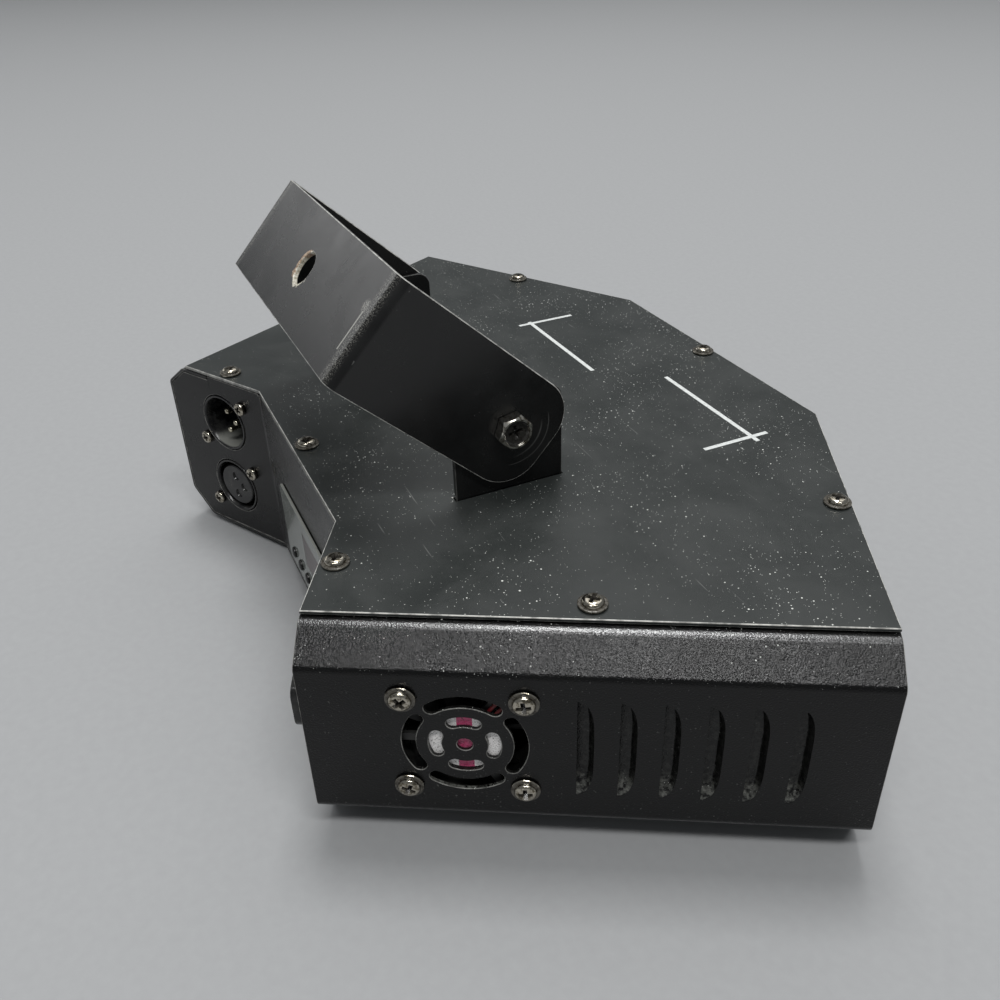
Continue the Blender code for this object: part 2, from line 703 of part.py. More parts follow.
def make_rear_panel(paint):
    """Three facets: signal sockets, menu panel, power inlet."""
    panel, holes = make_panel("rear_panel", paint, REAR)
    for place in socket_frames().values():
        add_cylinder(holes, SOCKET_HOLE_R, -CUT, SHEET, place, ROUND_SIDES)
        for side in (-1, 1):
            corner = moved(place, side * SOCKET_SCREW_X, side * SOCKET_SCREW_Y)
            add_cylinder(holes, SOCKET_SCREW_SHANK_R + SCREW_HOLE_CLEAR, -CUT, SHEET, corner, 8)
    inlet = inlet_frame()
    add_slab(holes, INLET_BODY_W + 2 * INLET_BODY_CLEAR, INLET_BODY_H + 2 * INLET_BODY_CLEAR, -CUT, SHEET, inlet)
    for side in (-1, 1):
        screw = moved(inlet, side * (INLET_BODY_W / 2 + INLET_SCREW_OUT))
        add_cylinder(holes, INLET_SCREW_R, -CUT, SHEET, screw, 8)
    for place in button_frames():
        add_cylinder(holes, BUTTON_R + BUTTON_CLEAR, -CUT, SHEET, place)
    add_slab(holes, DISPLAY_W, DISPLAY_H, -CUT, SHEET, display_frame())
    combine(panel, "rear_holes", holes, "DIFFERENCE")


def cover_screw_frames():
    """One screw near the middle of each edge of the cover, Z up at the cover's top."""
    return [moved(upright(side.frame), side.edge_mid, side.edge_in, BODY_H)
            for side in FRONT + REAR + (END_NEAR, END_FAR)]


def make_top_cover(paint):
    """Flat eight-sided plate with screw holes and a slot for each lug."""
    plan = [H, A, B, C]
    plan += [mirrored(point) for point in reversed(plan)]
    bm = bmesh.new()
    add_prism(bm, [point - MIDDLE for point in plan], COVER_Z - SHEET, COVER_Z)
    cover = finish("top_cover", bm, paint)
    holes = bmesh.new()
    for place in cover_screw_frames():
        add_cylinder(holes, SCREW_HOLE_R, -CUT, SHEET, place, SCREW_SIDES)
    for hand in (-1, 1):
        slot = Matrix.Translation((hand * (LUG_X - LUG_T / 2), LUG_Y - MIDDLE.y, COVER_Z))
        add_slab(holes, LUG_T + 2 * SLOT_CLEAR, LUG_W + 2 * SLOT_CLEAR, -CUT, SHEET, slot)
    combine(cover, "cover_holes", holes, "DIFFERENCE")


def make_screw(name, paint, place, head_r, head_h, shank_r, length, washer_r=0.0, washer_h=0.0):
    """A cross-recess screw whose head rests on the face at its origin and whose Z points out."""
    rim = [(head_r, GAP), (head_r, GAP + head_h / 3)]
    if washer_r:
        rim = [(washer_r, GAP), (washer_r, GAP + washer_h), (head_r, GAP + washer_h)]
    bm = bmesh.new()
    add_turned(bm, [(0, -length), (shank_r, -length), (shank_r, GAP)] + rim
               + [(CROWN_R * head_r, GAP + head_h), (0, GAP + head_h)], SCREW_SIDES)
    screw = finish(name, bm, paint, place, smooth=True)
    recess = bmesh.new()
    add_cross(recess, RECESS_W * head_r, RECESS_REACH * head_r, RECESS_FLOOR * head_h, 2 * head_h)
    combine(screw, name + "_recess", recess, "DIFFERENCE", place)


def make_washer_screw(name, paint, place, length):
    make_screw(name, paint, place, SCREW_HEAD_R, SCREW_HEAD_H, SCREW_SHANK_R, length,
               SCREW_WASHER_R, SCREW_WASHER_H)


def fan_corner(quarter):
    """Screw position of a fan, counter-clockwise from the upper right."""
    return arc(0, 0, FAN_PITCH / math.sqrt(2), math.pi / 4, 9 * math.pi / 4, 4)[quarter]


def make_fan(side, paint):
    """Fan with its frame, fixed hub and struts outside and its rotor inside."""
    frame, hand = ENDS[side]
    place = moved(frame, fan_x(hand), FAN_Z, -INSET)
    hub_low = -GAP - FAN_HUB_T
    bm = bmesh.new()
    add_prism(bm, rounded_box(FAN_SIZE, FAN_SIZE, FAN_CORNER_R), -FAN_DEPTH, 0)
    casing = finish("fan_frame_" + side, bm, paint, place)
    holes = bmesh.new()
    add_cylinder(holes, FAN_BORE_R, -2 * FAN_DEPTH, FAN_DEPTH, segments=ROUND_SIDES)
    for quarter in range(4):
        spot = Matrix.Translation((*fan_corner(quarter), 0))
        add_cylinder(holes, SCREW_HOLE_R, -2 * FAN_DEPTH, FAN_DEPTH, spot, 8)
    combine(casing, "fan_holes_" + side, holes, "DIFFERENCE", place)
    hub = bmesh.new()
    shaft_end = FAN_SHAFT_IN - FAN_DEPTH
    add_turned(hub, [(0, shaft_end), (FAN_SHAFT_R, shaft_end), (FAN_SHAFT_R, hub_low), (FAN_HUB_R, hub_low),
                     (FAN_HUB_R, -GAP), (0, -GAP)], HUB_SIDES)
    combine(casing, "fan_hub_" + side, hub, "UNION", place)
    struts = bmesh.new()
    for index in range(FAN_STRUTS):
        turn = Matrix.Rotation(math.pi + 2 * math.pi * index / FAN_STRUTS, 4, "Z")
        add_box(struts, (FAN_HUB_R - FAN_WALL, FAN_BORE_R + FAN_WALL / 2), (-FAN_STRUT_W / 2, FAN_STRUT_W / 2),
                (hub_low + FAN_STRUT_IN, -GAP - FAN_STRUT_IN), turn)
    combine(casing, "fan_struts_" + side, struts, "UNION", place)

    cup_low = GAP - FAN_DEPTH
    cup_high = hub_low - GAP
    cup_r = FAN_HUB_R - ROTOR_HUB_IN
    bore_r = FAN_SHAFT_R + RUN_CLEAR
    floor = cup_low + ROTOR_FLOOR
    bm = bmesh.new()
    add_turned(bm, [(0, cup_low), (cup_r, cup_low), (cup_r, cup_high), (bore_r, cup_high), (bore_r, floor),
                    (0, floor)], HUB_SIDES)
    rotor = finish("fan_rotor_" + side, bm, paint, place)
    blades = bmesh.new()
    lean = Matrix.Translation((0, 0, (cup_low + cup_high) / 2)) @ Matrix.Rotation(BLADE_PITCH, 4, "X")
    for index in range(FAN_BLADES):
        turn = Matrix.Rotation(2 * math.pi * index / FAN_BLADES, 4, "Z")
        add_box(blades, (cup_r - BLADE_ROOT_IN, FAN_BORE_R - FAN_TIP_CLEAR),
                (-BLADE_CHORD / 2, BLADE_CHORD / 2), (-BLADE_T / 2, BLADE_T / 2), turn @ lean)
    combine(rotor, "fan_blades_" + side, blades, "UNION", place)


def pin_spot(index):
    """Three contacts on a circle, with the wide gap to the left, as the sockets lie on their side."""
    x, y = arc(0, 0, PIN_CIRCLE_R, math.pi / 2, -math.pi / 2, 2)[index]
    return Matrix.Translation((x, y, 0))


def make_socket(name, paint, place, male):
    """A panel socket whose flange sits behind the panel."""
    front = GAP
    back = front - SOCKET_L
    floor = back + SOCKET_FLOOR
    inner_r = SOCKET_BARREL_R - SOCKET_WALL
    top = -INSET
    low = top - SOCKET_FLANGE_T
    bm = bmesh.new()
    add_prism(bm, rounded_box(SOCKET_FLANGE_W, SOCKET_FLANGE_H, SOCKET_FLANGE_R), low, top)
    socket = finish(name, bm, paint, place)
    bore = bmesh.new()
    add_cylinder(bore, inner_r + SOCKET_WALL / 2, low - SHEET, top + SHEET, segments=ROUND_SIDES)
    for side in (-1, 1):
        corner = Matrix.Translation((side * SOCKET_SCREW_X, side * SOCKET_SCREW_Y, 0))
        add_cylinder(bore, SOCKET_SCREW_SHANK_R + SCREW_HOLE_CLEAR, low - SHEET, top + SHEET, corner, 8)
    combine(socket, name + "_bores", bore, "DIFFERENCE", place)
    barrel = bmesh.new()
    add_turned(barrel, [(0, back), (SOCKET_BARREL_R, back), (SOCKET_BARREL_R, front), (inner_r, front),
                        (inner_r, floor), (0, floor)], ROUND_SIDES)
    combine(socket, name + "_barrel", barrel, "UNION", place)
    contacts = bmesh.new()
    if male:
        for index in range(3):
            add_cylinder(contacts, PIN_R, floor - SHEET, front - PIN_IN, pin_spot(index), 8)
        combine(socket, name + "_pins", contacts, "UNION", place)
        return
    add_cylinder(contacts, inner_r - INSERT_GAP, floor - SHEET, front - INSERT_IN, segments=20)
    combine(socket, name + "_insert", contacts, "UNION", place)
    holes = bmesh.new()
    for index in range(3):
        add_cylinder(holes, PIN_HOLE_R, front - PIN_HOLE_D, front + SHEET, pin_spot(index), 8)
    combine(socket, name + "_pin_holes", holes, "DIFFERENCE", place)


def make_sockets(paint, screw_steel):
    for name, place in socket_frames().items():
        make_socket(name + "_socket", paint, place, name == "dmx_in")
        for index, side in enumerate((-1, 1)):
            corner = moved(place, side * SOCKET_SCREW_X, side * SOCKET_SCREW_Y)
            make_screw(name + "_screw_" + str(index + 1), screw_steel, corner, SOCKET_SCREW_HEAD_R,
                       SOCKET_SCREW_HEAD_H, SOCKET_SCREW_SHANK_R, SOCKET_SCREW_L)


def make_power_inlet(paint):
    """A three-blade mains inlet with screw ears."""
    place = inlet_frame()
    shoulder = INLET_BODY_W / 2
    half_l = INLET_FLANGE_L / 2
    half_h = INLET_BODY_H / 2 + INLET_FLANGE_EDGE
    ear = INLET_EAR_H / 2
    bm = bmesh.new()
    add_prism(bm, [(half_l, -ear), (half_l, ear), (shoulder, half_h), (-shoulder, half_h),
                   (-half_l, ear), (-half_l, -ear), (-shoulder, -half_h), (shoulder, -half_h)],
              GAP, GAP + INLET_FLANGE_T)
    inlet = finish("power_inlet", bm, paint, place)
    body = bmesh.new()
    add_slab(body, INLET_BODY_W, INLET_BODY_H, GAP - INLET_BODY_D, 2 * GAP)
    combine(inlet, "inlet_body", body, "UNION", place)
    mouth_x = shoulder - INLET_SIDE_WALL
    mouth_y = INLET_BODY_H / 2 - INLET_TOP_WALL
    cut_x = mouth_x - INLET_MOUTH_CORNER
    cut_y = mouth_y - INLET_MOUTH_CORNER
    floor = GAP + INLET_FLANGE_T - INLET_MOUTH_D
    holes = bmesh.new()
    add_prism(holes, [(mouth_x, -mouth_y), (mouth_x, cut_y), (cut_x, mouth_y), (-cut_x, mouth_y),
                      (-mouth_x, cut_y), (-mouth_x, -mouth_y)], floor, 2 * INLET_FLANGE_T)
    for side in (-1, 1):
        spot = Matrix.Translation((side * (shoulder + INLET_SCREW_OUT), 0, 0))
        add_cylinder(holes, INLET_SCREW_R, -INLET_FLANGE_T, 2 * INLET_FLANGE_T, spot, 8)
    combine(inlet, "inlet_holes", holes, "DIFFERENCE", place)
    blades = bmesh.new()
    for x, y in ((-INLET_BLADE_X, INLET_BLADE_Y), (INLET_BLADE_X, INLET_BLADE_Y), (0, INLET_EARTH_Y)):
        add_slab(blades, INLET_BLADE_W, INLET_BLADE_H, floor - SHEET, floor + INLET_BLADE_L,
                 Matrix.Translation((x, y, 0)))
    combine(inlet, "inlet_blades", blades, "UNION", place)


def make_menu(overlay_paint, button_paint, board_paint):
    """Overlay plate, push buttons and the board behind them."""
    middle = moved(REAR_CENTRE.frame, 0, OVERLAY_MID)
    bm = bmesh.new()
    add_prism(bm, rounded_box(OVERLAY_W, OVERLAY_H, OVERLAY_CORNER_R), GAP, GAP + OVERLAY_T)
    overlay = finish("control_overlay", bm, overlay_paint, middle)
    holes = bmesh.new()
    add_slab(holes, DISPLAY_W, DISPLAY_H, -OVERLAY_T, 3 * OVERLAY_T, display_frame())
    for place in button_frames():
        add_cylinder(holes, BUTTON_R + BUTTON_CLEAR, -OVERLAY_T, 3 * OVERLAY_T, place)
    combine(overlay, "overlay_holes", holes, "DIFFERENCE")

    collar_top = -INSET
    collar_low = collar_top - BUTTON_COLLAR_H
    collar_r = BUTTON_R + BUTTON_COLLAR_W
    board_face = collar_top - DISPLAY_D
    plunger = board_face + SWITCH_H
    stem_end = plunger + BUTTON_TRAVEL + GAP
    face = GAP + OVERLAY_T + BUTTON_PROUD
    for index, place in enumerate(button_frames()):
        bm = bmesh.new()
        add_turned(bm, [(0, stem_end), (BUTTON_R, stem_end), (BUTTON_R, collar_low), (collar_r, collar_low),
                        (collar_r, collar_top), (BUTTON_R, collar_top), (BUTTON_R, face - BUTTON_DOME_H),
                        (0.7 * BUTTON_R, face - BUTTON_DOME_H / 4), (0, face)])
        finish("menu_button_" + str(index + 1), bm, button_paint, place, smooth=True)

    bm = bmesh.new()
    add_slab(bm, BOARD_W, BOARD_H, board_face - BOARD_T, board_face)
    board = finish("control_board", bm, board_paint, middle)
    parts = bmesh.new()
    sunk = board_face - BOARD_T / 2
    add_slab(parts, DISPLAY_W - 2 * DISPLAY_CLEAR, DISPLAY_H - 2 * DISPLAY_CLEAR, sunk, collar_top, display_frame())
    for place in button_frames():
        add_slab(parts, SWITCH_SIZE, SWITCH_SIZE, sunk, plunger, place)
    for x, y in post_spots(BOARD_W, BOARD_H):
        add_cylinder(parts, BOARD_POST_R, sunk, collar_top, moved(middle, x, y), 8)
    combine(board, "board_parts", parts, "UNION")


def post_spots(width, height):
    """Places of a board's four posts."""
    x = width / 2 - BOARD_POST_IN
    y = height / 2 - BOARD_POST_IN
    return (x, y), (-x, y), (-x, -y), (x, -y)


def make_power_board(paint):
    """Mains supply board on four posts, with transformer, capacitors and a heat sink."""
    place = Matrix.Translation((0, POWER_FROM_FRONT - MIDDLE.y, FLOOR_Z + INSET))
    bm = bmesh.new()
    add_slab(bm, POWER_W, POWER_D, POWER_LIFT, POWER_LIFT + BOARD_T)
    board = finish("power_board", bm, paint, place)
    parts = bmesh.new()
    sunk = POWER_LIFT + BOARD_T / 2
    add_slab(parts, TRANSFORMER_W, TRANSFORMER_D, sunk, POWER_LIFT + TRANSFORMER_H)
    add_slab(parts, SINK_W, SINK_D, sunk, POWER_LIFT + SINK_H, Matrix.Translation((SINK_X, 0, 0)))
    for step in (-1, 0, 1):
        spot = Matrix.Translation((CAPACITOR_X, step * CAPACITOR_PITCH, 0))
        add_cylinder(parts, CAPACITOR_R, sunk, POWER_LIFT + CAPACITOR_H, spot)
    for x, y in post_spots(POWER_W, POWER_D):
        add_cylinder(parts, BOARD_POST_R, 0, sunk, Matrix.Translation((x, y, 0)), 8)
    combine(board, "power_parts", parts, "UNION", place)


def make_window_glass(side, frame, paint):
    """One pane behind both windows of a facet."""
    bm = bmesh.new()
    add_slab(bm, WINDOW_PITCH + 2 * (WINDOW_R + GLASS_LAP), 2 * (WINDOW_R + GLASS_LAP), -INSET - GLASS_T, -INSET)
    finish("window_glass_" + side, bm, paint, moved(frame, 0, PANEL_MID))


def make_optics(side, frame, alloy, bracket_paint, mirror_paint):
    """Swinging mirror, its drive bracket and the laser bar under it, behind one facet."""
    axis = moved(frame, 0, PANEL_MID, -AXIS_IN)
    floor = PANEL_LOW - PANEL_MID
    half = BRACKET_L / 2
    inner = half - BRACKET_T
    base = floor + BRACKET_T
    bm = bmesh.new()
    add_prism(bm, [(-half, floor), (half, floor), (half, BRACKET_TOP), (inner, BRACKET_TOP), (inner, base),
                   (-inner, base), (-inner, BRACKET_TOP), (-half, BRACKET_TOP)], -BRACKET_W / 2, BRACKET_W / 2)
    drive = finish("scan_drive_" + side, bm, bracket_paint, axis)
    motor = bmesh.new()
    add_cylinder(motor, MOTOR_R, half - BRACKET_T / 2, half + MOTOR_L, across(Matrix()), 20)
    combine(drive, "motor_" + side, motor, "UNION", axis)
    bores = bmesh.new()
    add_cylinder(bores, SHAFT_R + RUN_CLEAR, -half - BRACKET_T, half + SHAFT_IN_MOTOR + GAP,
                 across(Matrix()), HUB_SIDES)
    combine(drive, "bearings_" + side, bores, "DIFFERENCE", axis)

    bm = bmesh.new()
    add_cylinder(bm, SHAFT_R, -half, half + SHAFT_IN_MOTOR, across(Matrix()), HUB_SIDES)
    mirror = finish("scan_mirror_" + side, bm, mirror_paint, axis)
    plate = bmesh.new()
    add_slab(plate, MIRROR_L, MIRROR_T, -MIRROR_W / 2, MIRROR_W / 2,
             moved(Matrix.Rotation(MIRROR_LEAN, 4, "X"), 0, -MIRROR_BELOW_AXIS - MIRROR_T / 2))
    combine(mirror, "mirror_plate_" + side, plate, "UNION", axis)

    bar_low = base + GAP
    bar_high = bar_low + LASER_BAR_H
    barrel_top = bar_high + LASER_BARREL_L
    reach = WINDOW_PITCH / 2 + LASER_BARREL_R + LASER_BAR_EDGE
    bm = bmesh.new()
    add_box(bm, (-reach, reach), (bar_low, bar_high), (-LASER_BAR_W / 2, LASER_BAR_W / 2))
    bar = finish("laser_block_" + side, bm, alloy, axis)
    barrels = bmesh.new()
    hollows = bmesh.new()
    for hand in (-1, 1):
        spot = moved(upright(Matrix()), hand * WINDOW_PITCH / 2)
        add_cylinder(barrels, LASER_BARREL_R, bar_high - GAP, barrel_top, spot, HUB_SIDES)
        add_cylinder(hollows, LASER_APERTURE_R, barrel_top - LASER_APERTURE_D, barrel_top + GAP, spot)
    for index in range(LASER_FINS):
        groove = Matrix.Translation(((index - (LASER_FINS - 1) / 2) * 2 * LASER_GROOVE_W, 0, 0))
        add_box(hollows, (-LASER_GROOVE_W / 2, LASER_GROOVE_W / 2), (bar_low - GAP, bar_high + GAP),
                (-LASER_BAR_W, LASER_GROOVE_D - LASER_BAR_W / 2), groove)
    combine(bar, "barrels_" + side, barrels, "UNION", axis)
    combine(bar, "hollows_" + side, hollows, "DIFFERENCE", axis)


def make_feet(paint):
    """Four pads inside the corners of the floor."""
    spots = []
    for point, inward in ((B, REARWARD - OUTWARD), (A, -REARWARD - OUTWARD)):
        near = point + FOOT_EDGE * inward
        spots += [near, mirrored(near)]
    top = FOOT_H - GAP
    for index, point in enumerate(spots):
        bm = bmesh.new()
        add_turned(bm, [(0, 0), (FOOT_R - FOOT_BEVEL, 0), (FOOT_R, FOOT_BEVEL), (FOOT_R, top), (0, top)], HUB_SIDES)
        place = Matrix.Translation((point - MIDDLE).to_3d())
        finish("rubber_foot_" + str(index + 1), bm, paint, place, smooth=True)


def yoke_frame():
    """The middle of the pivot axis, X along it."""
    return Matrix.Translation((0, LUG_Y - MIDDLE.y, COVER_Z + PIVOT_H))


def pivot_frame(hand):
    """The pivot axis with Z pointing out of one side of the light."""
    return yoke_frame() @ Matrix.Rotation(hand * math.pi / 2, 4, "Y")


def make_lug(side, hand, paint):
    """L-shaped lug: foot under the cover, plate standing through the slot, pressed-in nut."""
    top = COVER_Z + PIVOT_H + LUG_TOP
    inner = LUG_X - LUG_T
    heel = LUG_X - LUG_FOOT
    profile = [(LUG_X, UNDER_COVER_Z - LUG_T), (LUG_X, top), (inner, top), (inner, UNDER_COVER_Z),
               (heel, UNDER_COVER_Z), (heel, UNDER_COVER_Z - LUG_T)]
    place = Matrix.Translation((0, LUG_Y - MIDDLE.y, 0)) @ Matrix.Rotation(math.pi / 2, 4, "X")
    bm = bmesh.new()
    add_prism(bm, [(hand * x, z) for x, z in profile][::hand], -LUG_W / 2, LUG_W / 2, place)
    corners = [edge for edge in bm.edges
               if all(vert.co.z > top - GAP for vert in edge.verts)
               and abs(edge.verts[0].co.x - edge.verts[1].co.x) > LUG_T / 2]
    bmesh.ops.bevel(bm, geom=corners, offset=LUG_CORNER_R, segments=4, profile=0.5, affect="EDGES")
    lug = finish("yoke_lug_" + side, bm, paint)
    nut = bmesh.new()
    add_cylinder(nut, NUT_R, inner - NUT_H, inner + LUG_T / 2, pivot_frame(hand))
    combine(lug, "lug_nut_" + side, nut, "UNION")
    bore = bmesh.new()
    add_cylinder(bore, BOLT_HOLE_R, inner - 2 * NUT_H, LUG_X + LUG_T, pivot_frame(hand))
    combine(lug, "lug_bore_" + side, bore, "DIFFERENCE")


def make_yoke(paint):
    """U-shaped strap, origin on the pivot axis. Its own Y runs from the pivot to the base."""
    inner = LUG_X + GAP
    outer = inner + YOKE_T
    outside = [Vector((-outer, -YOKE_TAIL)), Vector((-outer, YOKE_L)), Vector((outer, YOKE_L)),
               Vector((outer, -YOKE_TAIL))]
    inside = [Vector((inner, -YOKE_TAIL)), Vector((inner, YOKE_L - YOKE_T)),
              Vector((-inner, YOKE_L - YOKE_T)), Vector((-inner, -YOKE_TAIL))]
    outline = rounded_path(outside, YOKE_BEND_R, 4) + rounded_path(inside, YOKE_BEND_R - YOKE_T, 4)
    bm = bmesh.new()
    add_prism(bm, outline[::-1], -YOKE_W / 2, YOKE_W / 2)
    ends = [edge for edge in bm.edges
            if all(vert.co.y < GAP - YOKE_TAIL for vert in edge.verts)
            and abs(edge.verts[0].co.x - edge.verts[1].co.x) > YOKE_T / 2]
    bmesh.ops.bevel(bm, geom=ends, offset=YOKE_TAIL_R, segments=6, profile=0.5, affect="EDGES")
    place = yoke_frame() @ Matrix.Rotation(YOKE_TILT, 4, "X")
    yoke = finish("yoke", bm, paint, place)
    holes = bmesh.new()
    add_cylinder(holes, BOLT_HOLE_R, -2 * outer, 2 * outer, across(Matrix()), HUB_SIDES)
    base = Matrix.Translation((0, YOKE_L, 0)) @ Matrix.Rotation(math.pi / 2, 4, "X")
    add_cylinder(holes, YOKE_HOLE_R, -2 * YOKE_T, 2 * YOKE_T, base, ROUND_SIDES)
    combine(yoke, "yoke_holes", holes, "DIFFERENCE", place)


def make_bolt(side, hand, paint):
    """Hex head bolt with a cross recess, through the arm into the lug's nut."""
    place = pivot_frame(hand)
    seat = LUG_X + GAP + YOKE_T + GAP
    tip = LUG_X - LUG_T - NUT_H - BOLT_END
    shoulder = seat + (1 - BOLT_CROWN) * BOLT_HEAD_H
    half_af = BOLT_HEAD_AF / 2
    bm = bmesh.new()
    add_cylinder(bm, BOLT_HEAD_AF / math.sqrt(3), seat, shoulder, segments=6)
    bolt = finish("yoke_bolt_" + side, bm, paint, place)
    crown = bmesh.new()
    add_cylinder(crown, half_af - GAP / 2, shoulder - GAP, seat + BOLT_HEAD_H, segments=18, top=half_af - 2 * GAP)
    combine(bolt, "bolt_crown_" + side, crown, "UNION", place)
    shank = bmesh.new()
    add_cylinder(shank, BOLT_R, tip, seat + GAP)
    combine(bolt, "bolt_shank_" + side, shank, "UNION", place)
    recess = bmesh.new()
    add_cross(recess, BOLT_RECESS_W, BOLT_RECESS_REACH, seat + BOLT_HEAD_H / 2, seat + 2 * BOLT_HEAD_H)
    combine(bolt, "bolt_recess_" + side, recess, "DIFFERENCE", place)


def build():
    for old in list(bpy.data.objects):
        bpy.data.objects.remove(old)
    cover_black = material("powder_coat_cover", (0.030, 0.031, 0.030), 0.48, 0.0)
    body_black = material("powder_coat_housing", (0.014, 0.014, 0.014), 0.42, 0.0)
    yoke_black = material("powder_coat_yoke", (0.020, 0.020, 0.020), 0.35, 0.0)
    screw_steel = material("nickel_plated_screws", (0.62, 0.58, 0.50), 0.25, 1.0)
    bolt_steel = material("plated_bolts", (0.55, 0.54, 0.52), 0.25, 1.0)
    fan_black = material("fan_plastic", (0.015, 0.015, 0.016), 0.45, 0.0)
    socket_black = material("socket_plastic", (0.018, 0.018, 0.019), 0.35, 0.0)
    overlay_gloss = material("overlay_gloss", (0.020, 0.021, 0.022), 0.12, 0.0)
    button_black = material("button_plastic", (0.012, 0.012, 0.012), 0.30, 0.0)
    board_green = material("circuit_board", (0.020, 0.120, 0.050), 0.45, 0.0)
    glass = material("window_glass", (0.80, 0.85, 0.85), 0.05, 0.0, 0.35)
    alloy = material("laser_alloy", (0.62, 0.63, 0.64), 0.35, 1.0)
    bracket_steel = material("zinc_bracket", (0.55, 0.56, 0.57), 0.35, 1.0)
    mirror_silver = material("mirror_silver", (0.85, 0.86, 0.87), 0.05, 1.0)
    rubber = material("rubber", (0.020, 0.020, 0.020), 0.80, 0.0)

    make_bottom_tray(body_black)
    make_front_panel(body_black)
    make_rear_panel(body_black)
    make_top_cover(cover_black)
    for index, place in enumerate(cover_screw_frames()):
        make_washer_screw("cover_screw_" + str(index + 1), screw_steel, place, COVER_SCREW_L)
    for side, (frame, hand) in ENDS.items():
        make_fan(side, fan_black)
        for quarter in range(4):
            corner = moved(moved(frame, fan_x(hand), FAN_Z), *fan_corner(quarter))
            make_washer_screw("fan_screw_" + side + "_" + str(quarter + 1), screw_steel, corner,
                              INSET + FAN_DEPTH + FAN_SCREW_PAST)
    make_sockets(socket_black, screw_steel)
    make_power_inlet(socket_black)
    make_menu(overlay_gloss, button_black, board_green)
    make_power_board(board_green)
    for name, side in WINDOWED.items():
        frame = moved(side.frame, side.edge_mid)
        make_window_glass(name, frame, glass)
        make_optics(name, frame, alloy, bracket_steel, mirror_silver)
    make_feet(rubber)
    for side, hand in (("near", -1), ("far", 1)):
        make_lug(side, hand, yoke_black)
        make_bolt(side, hand, bolt_steel)
    make_yoke(yoke_black)
    bpy.context.view_layer.update()


build()
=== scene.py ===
# The looks of the fan-shaped scanner light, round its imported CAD.
# Metres, +Z up, X along the yoke's pivot, -Y to the front. Near is the -X end, far the +X end.
# The profiles given to lathe are in millimetres.

import math

import bmesh
import bpy
from mathutils import Matrix, Vector


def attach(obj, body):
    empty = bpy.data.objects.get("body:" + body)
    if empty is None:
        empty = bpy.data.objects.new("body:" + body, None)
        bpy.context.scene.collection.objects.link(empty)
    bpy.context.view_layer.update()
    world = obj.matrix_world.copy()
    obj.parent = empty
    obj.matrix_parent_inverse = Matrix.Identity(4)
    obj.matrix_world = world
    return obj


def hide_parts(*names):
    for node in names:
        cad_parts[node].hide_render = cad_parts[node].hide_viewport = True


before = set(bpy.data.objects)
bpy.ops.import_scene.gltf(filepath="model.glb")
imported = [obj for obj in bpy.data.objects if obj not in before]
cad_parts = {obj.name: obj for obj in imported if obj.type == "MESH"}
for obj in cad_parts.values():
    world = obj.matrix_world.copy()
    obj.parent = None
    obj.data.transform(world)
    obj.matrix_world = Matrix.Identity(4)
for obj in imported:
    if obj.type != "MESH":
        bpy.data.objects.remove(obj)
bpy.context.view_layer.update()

UP = Vector((0, 0, 1))
FLOOR_Z = 0.003             # floor underside, on the feet
COVER_Z = 0.0735            # cover top
SHEET = 0.0012
GAP = 0.0003                # between touching pieces
INSET = SHEET + GAP
CUT = (-2 * SHEET, SHEET)   # reach of a cutter through a sheet
SCREW_HOLE_R = 0.0019
BODY_H = COVER_Z - FLOOR_Z
PANEL_MID = BODY_H / 2
FRONT_Y = -0.098555
PIVOT_Y, PIVOT_Z = 0.015745, 0.095
WING = math.radians(29.6)
ALONG = Vector((math.cos(WING), math.sin(WING)))

# Plan corners of the near half: rear facet, end wall, front facet
PLAN = [Vector(point) for point in ((-0.0491, 0.070245), (-0.085895, 0.091147), (-0.161392, -0.041752),
                                    (-0.0614, FRONT_Y))]


def facet(x, y, right_x, right_y):
    """The frame of a flat side: X to the right seen from outside, Y up, Z out."""
    right = Vector((right_x, right_y, 0))
    turn = Matrix((right, UP, right.cross(UP))).transposed().to_4x4()
    return Matrix.Translation((x, y, FLOOR_Z)) @ turn


FRONT = {"centre": facet(0, FRONT_Y, 1, 0),
         "near": facet(-0.111396, -0.070153, ALONG.x, -ALONG.y),
         "far": facet(0.111396, -0.070153, ALONG.x, ALONG.y)}
REAR = {"centre": facet(0, 0.070245, -1, 0),
        "near": facet(-0.072888, 0.083758, -ALONG.x, ALONG.y),
        "far": facet(0.072888, 0.083758, -ALONG.x, -ALONG.y)}
ENDS = {"near": (facet(-0.134425, 0.030822, -ALONG.y, -ALONG.x), -1),
        "far": (facet(0.134425, 0.030822, -ALONG.y, ALONG.x), 1)}
PIVOT = Matrix.Translation((0, PIVOT_Y, PIVOT_Z))


def moved(matrix, x=0.0, y=0.0, z=0.0):
    return matrix @ Matrix.Translation((x, y, z))


def turned(matrix, degrees, axis="Z"):
    return matrix @ Matrix.Rotation(math.radians(degrees), 4, axis)


def spot(x, y, z=0.0):
    """The place of a point, with no turn."""
    return Matrix.Translation((x, y, z))


# Colours and nodes

def srgb(code):
    """A hex colour as linear red, green, blue and alpha."""
    parts = [int(code[i:i + 2], 16) / 255 for i in (1, 3, 5)]
    return tuple(p / 12.92 if p < 0.04045 else ((p + 0.055) / 1.055) ** 2.4 for p in parts) + (1.0,)


def material(name):
    """A material with its node tree, its shader and its object coordinates."""
    made = bpy.data.materials.new(name)
    made.use_nodes = True
    tree = made.node_tree
    return made, tree, tree.nodes["Principled BSDF"], add(tree, "TexCoord", {}).outputs["Object"]


def add(tree, kind, inputs, **settings):
    """A node with its settings, and its inputs as values or as sockets to link."""
    made = tree.nodes.new("ShaderNode" + kind)
    for name, value in settings.items():
        setattr(made, name, value)
    join(tree, made, inputs)
    return made


